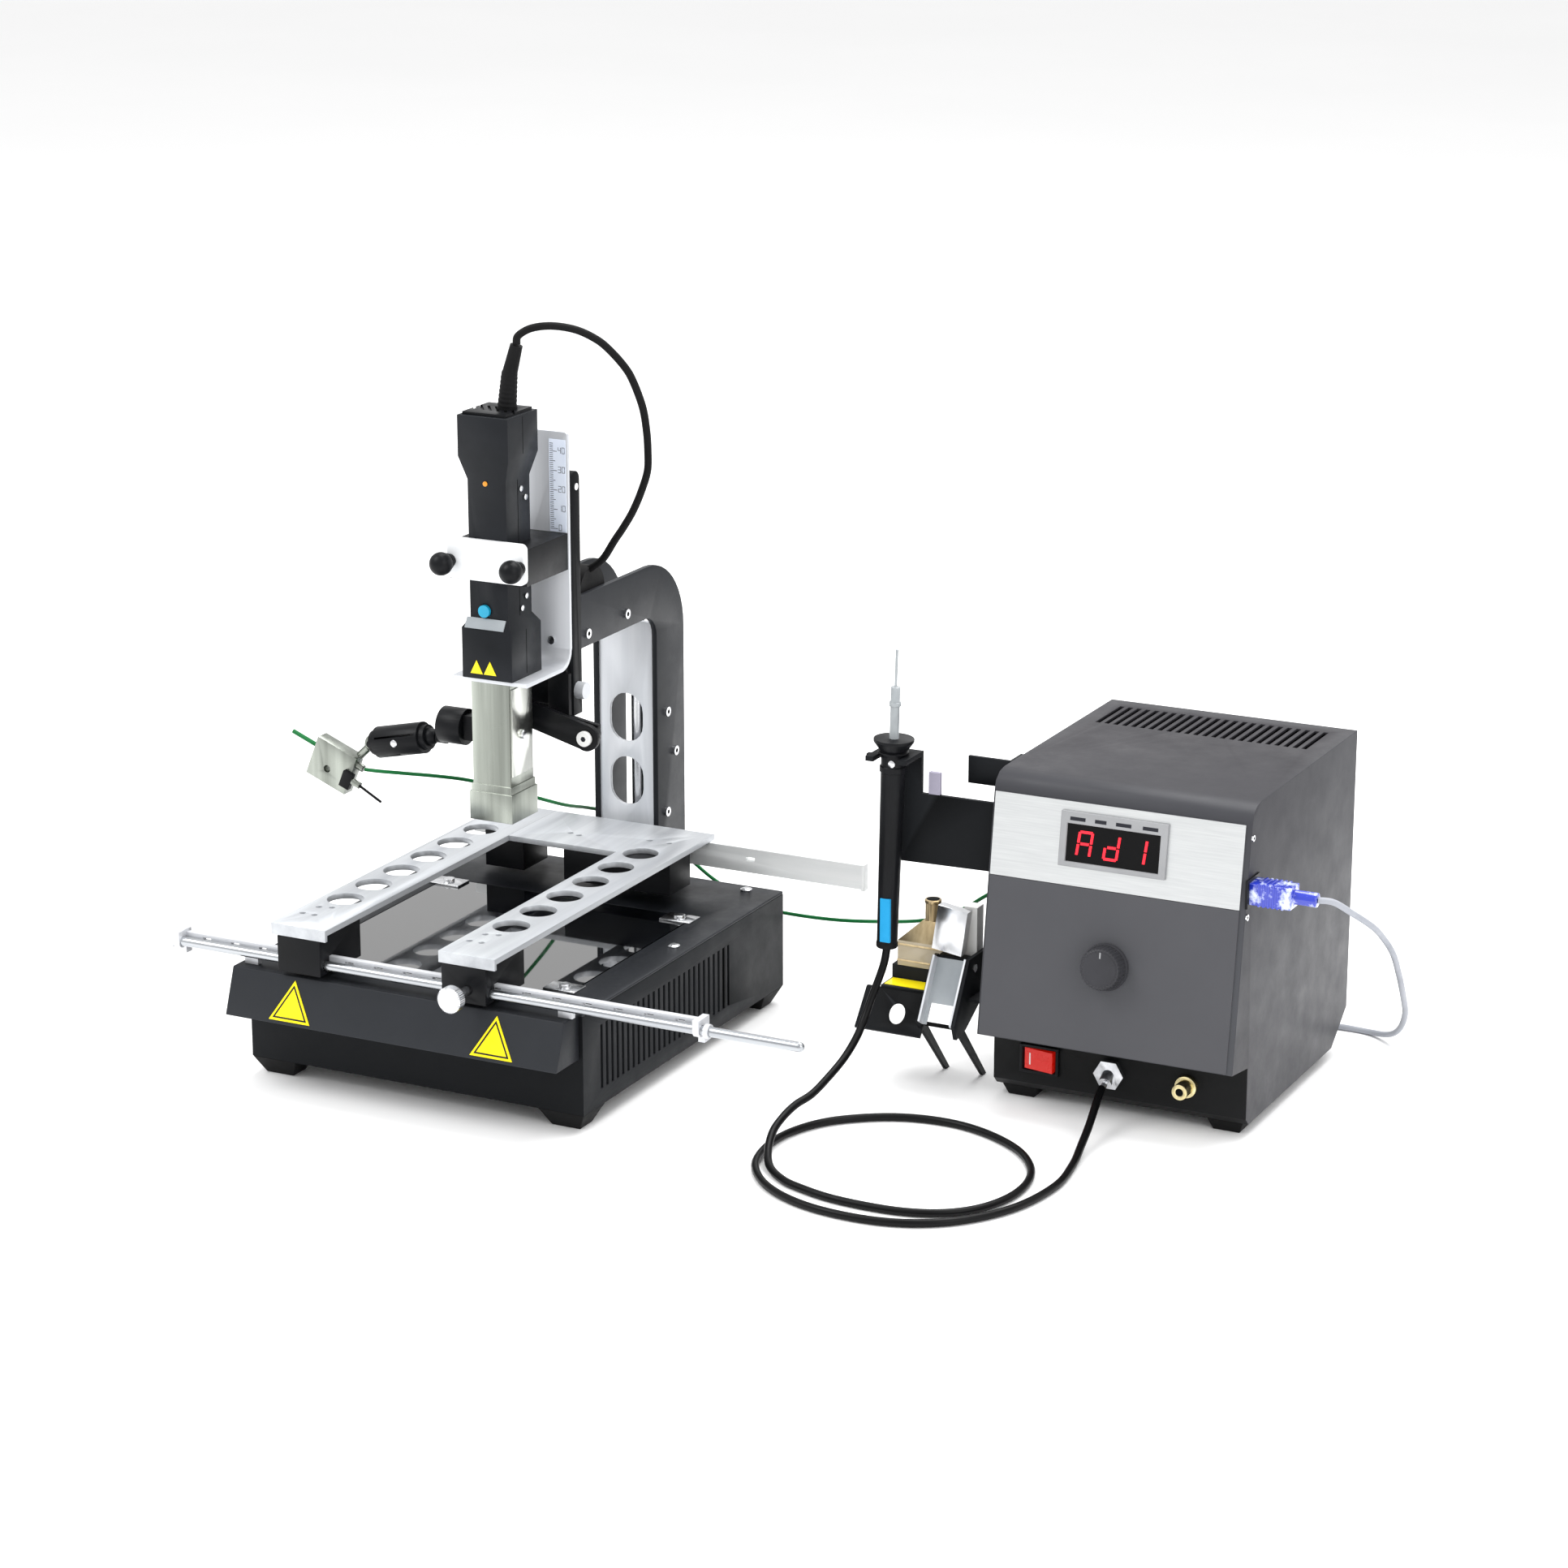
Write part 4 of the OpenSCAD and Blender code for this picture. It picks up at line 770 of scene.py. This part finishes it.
triangle_borders()
screw_sockets()
ruler_marks()
ruler_numbers()
boot_ribs()
arm_clamp_grip()
head_details()
sensor_details()


# ---------- Details of the control unit and its holders ----------

FACE_TOP = Vector((0, 7.9, 162.5))
FACE_LOW = Vector((0, -9.4, 40.1))
FACE_LEAN = math.atan2(FACE_TOP.y - FACE_LOW.y, FACE_TOP.z - FACE_LOW.z)
ON_FACE = Matrix.Translation(FACE_TOP) @ Matrix.Rotation(math.pi / 2 - FACE_LEAN, 4, "X")
BEZEL_X = 164.7
KNOB = Vector((193.6, -79.5, 0.86))


def display_details():
    window = [((BEZEL_X + 3.6, -29.9, 1.41), (BEZEL_X + 52.4, -11.1, 1.5))]
    boxes("display_window", window, "window", "display_bezel", bevel=0, turn=ON_FACE)
    stretches = ((5, 13), (18, 24), (29, 37), (43, 51))
    marks = [((BEZEL_X + a, -9.4, 2.4), (BEZEL_X + b, -7.6, 2.46)) for a, b in stretches]
    boxes("display_marks", marks, "ink", "display_bezel", bevel=0, turn=ON_FACE)


def knob_details():
    place = ON_FACE @ KNOB
    out = ON_FACE.to_3x3() @ Vector((0, 0, 1))
    skirt = lathe("knob_skirt", [(11.8, 0), (11.8, 1.2), (11.3, 2.0), (9, 2.1)], place, out,
                  "knob_plastic", "control_knob", sides=64)
    body = [(10.9, 1.9), (10.6, 8.2), (10.2, 9.0), (9.4, 9.4), (9.0, 9.1), (0.5, 9.0)]
    lathe("knob_body", body, place, out, "knob_plastic", "control_knob", sides=144, ribs=36, rib_depth=0.4)
    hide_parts("control_knob")
    low = KNOB + Vector((-0.5, 5.5, 9.0))
    mark = [(low, low + Vector((0.8, 3.0, 0.15)))]
    boxes("knob_mark", mark, "bezel", "control_knob", bevel=0, turn=ON_FACE)


def port_details():
    side = span_of("unit_shell")[1].x
    socket = [((side - 0.5, 1.8, 121.8), (side + 0.9, 18.2, 136.2))]
    boxes("usb_socket", socket, "black_plastic", "unit_shell")
    ridges = [((side + 5 + 2.4 * i, 3.7, 123.2), (side + 6.2 + 2.4 * i, 16.3, 134.8)) for i in range(6)]
    boxes("usb_ridges", ridges, "blue_plastic", "usb_plugs", bevel=0.3)
    pins = [((188 + 7 * i - 1.2, 150, 45), (188 + 7 * i + 1.2, 158, 51)) for i in range(3)]
    boxes("inlet_pins", pins, "brass", "unit_ports", bevel=0.2)
    mark = [((147.4, 10.9, 20.6), (148.1, 11.5, 26.8))]
    boxes("switch_mark", mark, "white_plastic", "switch_rocker", bevel=0)
    # A dark disc in the port: painted shade in its hole.
    lathe("port_hole", [(2.0, 0), (1.9, 0.05)], (231.5, 1.25, 23), (0, -1, 0), "dark_hole", "unit_ports")


def pen_details():
    tilt = math.radians(1.6)
    axis = (math.sin(tilt), 0, math.cos(tilt))
    foot = (73.4, 0, 75)
    boxes("pen_label", [((72.0, -5.9, 79), (77.6, -4.2, 102))], "blue_label", "suction_pen", bevel=0.4)
    lathe("pen_end", [(5.2, 0.3), (5.5, 0.6), (5.5, 2.6), (5.3, 2.9)], foot, axis, "rubber", "suction_pen")
    lathe("pen_ring", [(6.3, 92), (6.7, 92.4), (6.7, 95), (6.3, 95.4)], foot, axis, "black_plastic",
          "suction_pen")
    lathe("collar_screw", [(1.8, -0.4), (1.8, 0.4), (1.2, 0.7)], (78.0, -5.8, 172.5), (0, -1, 0),
          "polished", "suction_pen")
    tab = [((90.9, 9.8, 154.7), (97.1, 12.7, 166.1))]
    boxes("holder_tab", tab, "lilac_plastic", "pen_holder", bevel=0.3)


def rack_details():
    # A dark sheet across the channel's mouth: painted shade inside it.
    mouth = [((92.2, 5.4, 34.2), (107.3, 6.2, 36.2))]
    boxes("channel_mouth", mouth, "dark_hole", "rack_channel", bevel=0)
    lathe("tube_lip", [(4.0, 0), (4.4, 0.3), (4.4, 1.6), (4.0, 1.9)], (81, 39, 88), (0, 0, 1), "fired",
          "spare_nozzles")
    # A dark disc in the tube's mouth: painted shade inside the tube.
    lathe("tube_mouth", [(3.4, 0), (3.3, 0.05)], (81, 39, 90), (0, 0, 1), "dark_hole", "spare_nozzles")
    band = [((64.7, 30.7, 57), (97.3, 47.3, 58)), ((64.7, 30.7, 65.5), (97.3, 47.3, 66.5))]
    boxes("nozzle_bands", band, "fired", "spare_nozzles")


display_details()
knob_details()
port_details()
pen_details()
rack_details()

# ---------- Floor and light ----------


def make_floor():
    mesh = bpy.data.meshes.new("floor")
    half = FLOOR_SIZE / 2
    corners = [(-half, -half, 0), (half, -half, 0), (half, half, 0), (-half, half, 0)]
    mesh.from_pydata(corners, [], [(0, 1, 2, 3)])
    floor = link("floor", mesh)
    n = Nodes("floor")
    clouds = n.span(n.noise(1.5), 0.0, 1.0)
    n.put(n.shader, "Base Color", n.mix(clouds, (0.94, 0.94, 0.94, 1), (0.96, 0.96, 0.96, 1)))
    n.put(n.shader, "Roughness", 0.75)
    floor.data.materials.append(n.material)


def area_light(name, place, aim, size, power):
    data = bpy.data.lights.new(name, "AREA")
    data.shape = "RECTANGLE"
    data.size, data.size_y = size
    data.energy = power
    lamp = bpy.data.objects.new(name, data)
    lamp.location = place
    lamp.rotation_mode = "QUATERNION"
    lamp.rotation_quaternion = (Vector(aim) - Vector(place)).to_track_quat("-Z", "Y")
    bpy.context.scene.collection.objects.link(lamp)


SKY_STRENGTH = 0.95
LIT_POINT = (0, 0, 0.1)
LAMPS = (
    ("key", (-1.2, -1.0, 1.9), (1.2, 1.2), 28),
    ("fill", (1.6, -0.8, 1.1), (1.0, 1.4), 12),
    ("top", (0.2, 0.7, 2.0), (1.8, 1.4), 46),
)


def make_light():
    world = bpy.data.worlds.new("studio")
    world.use_nodes = True
    sky = world.node_tree.nodes["Background"].inputs
    sky["Color"].default_value = (1, 1, 1, 1)
    sky["Strength"].default_value = SKY_STRENGTH
    bpy.context.scene.world = world
    for name, place, size, power in LAMPS:
        area_light(name, place, LIT_POINT, size, power)
    bpy.context.scene.view_settings.view_transform = "Standard"


make_floor()
make_light()
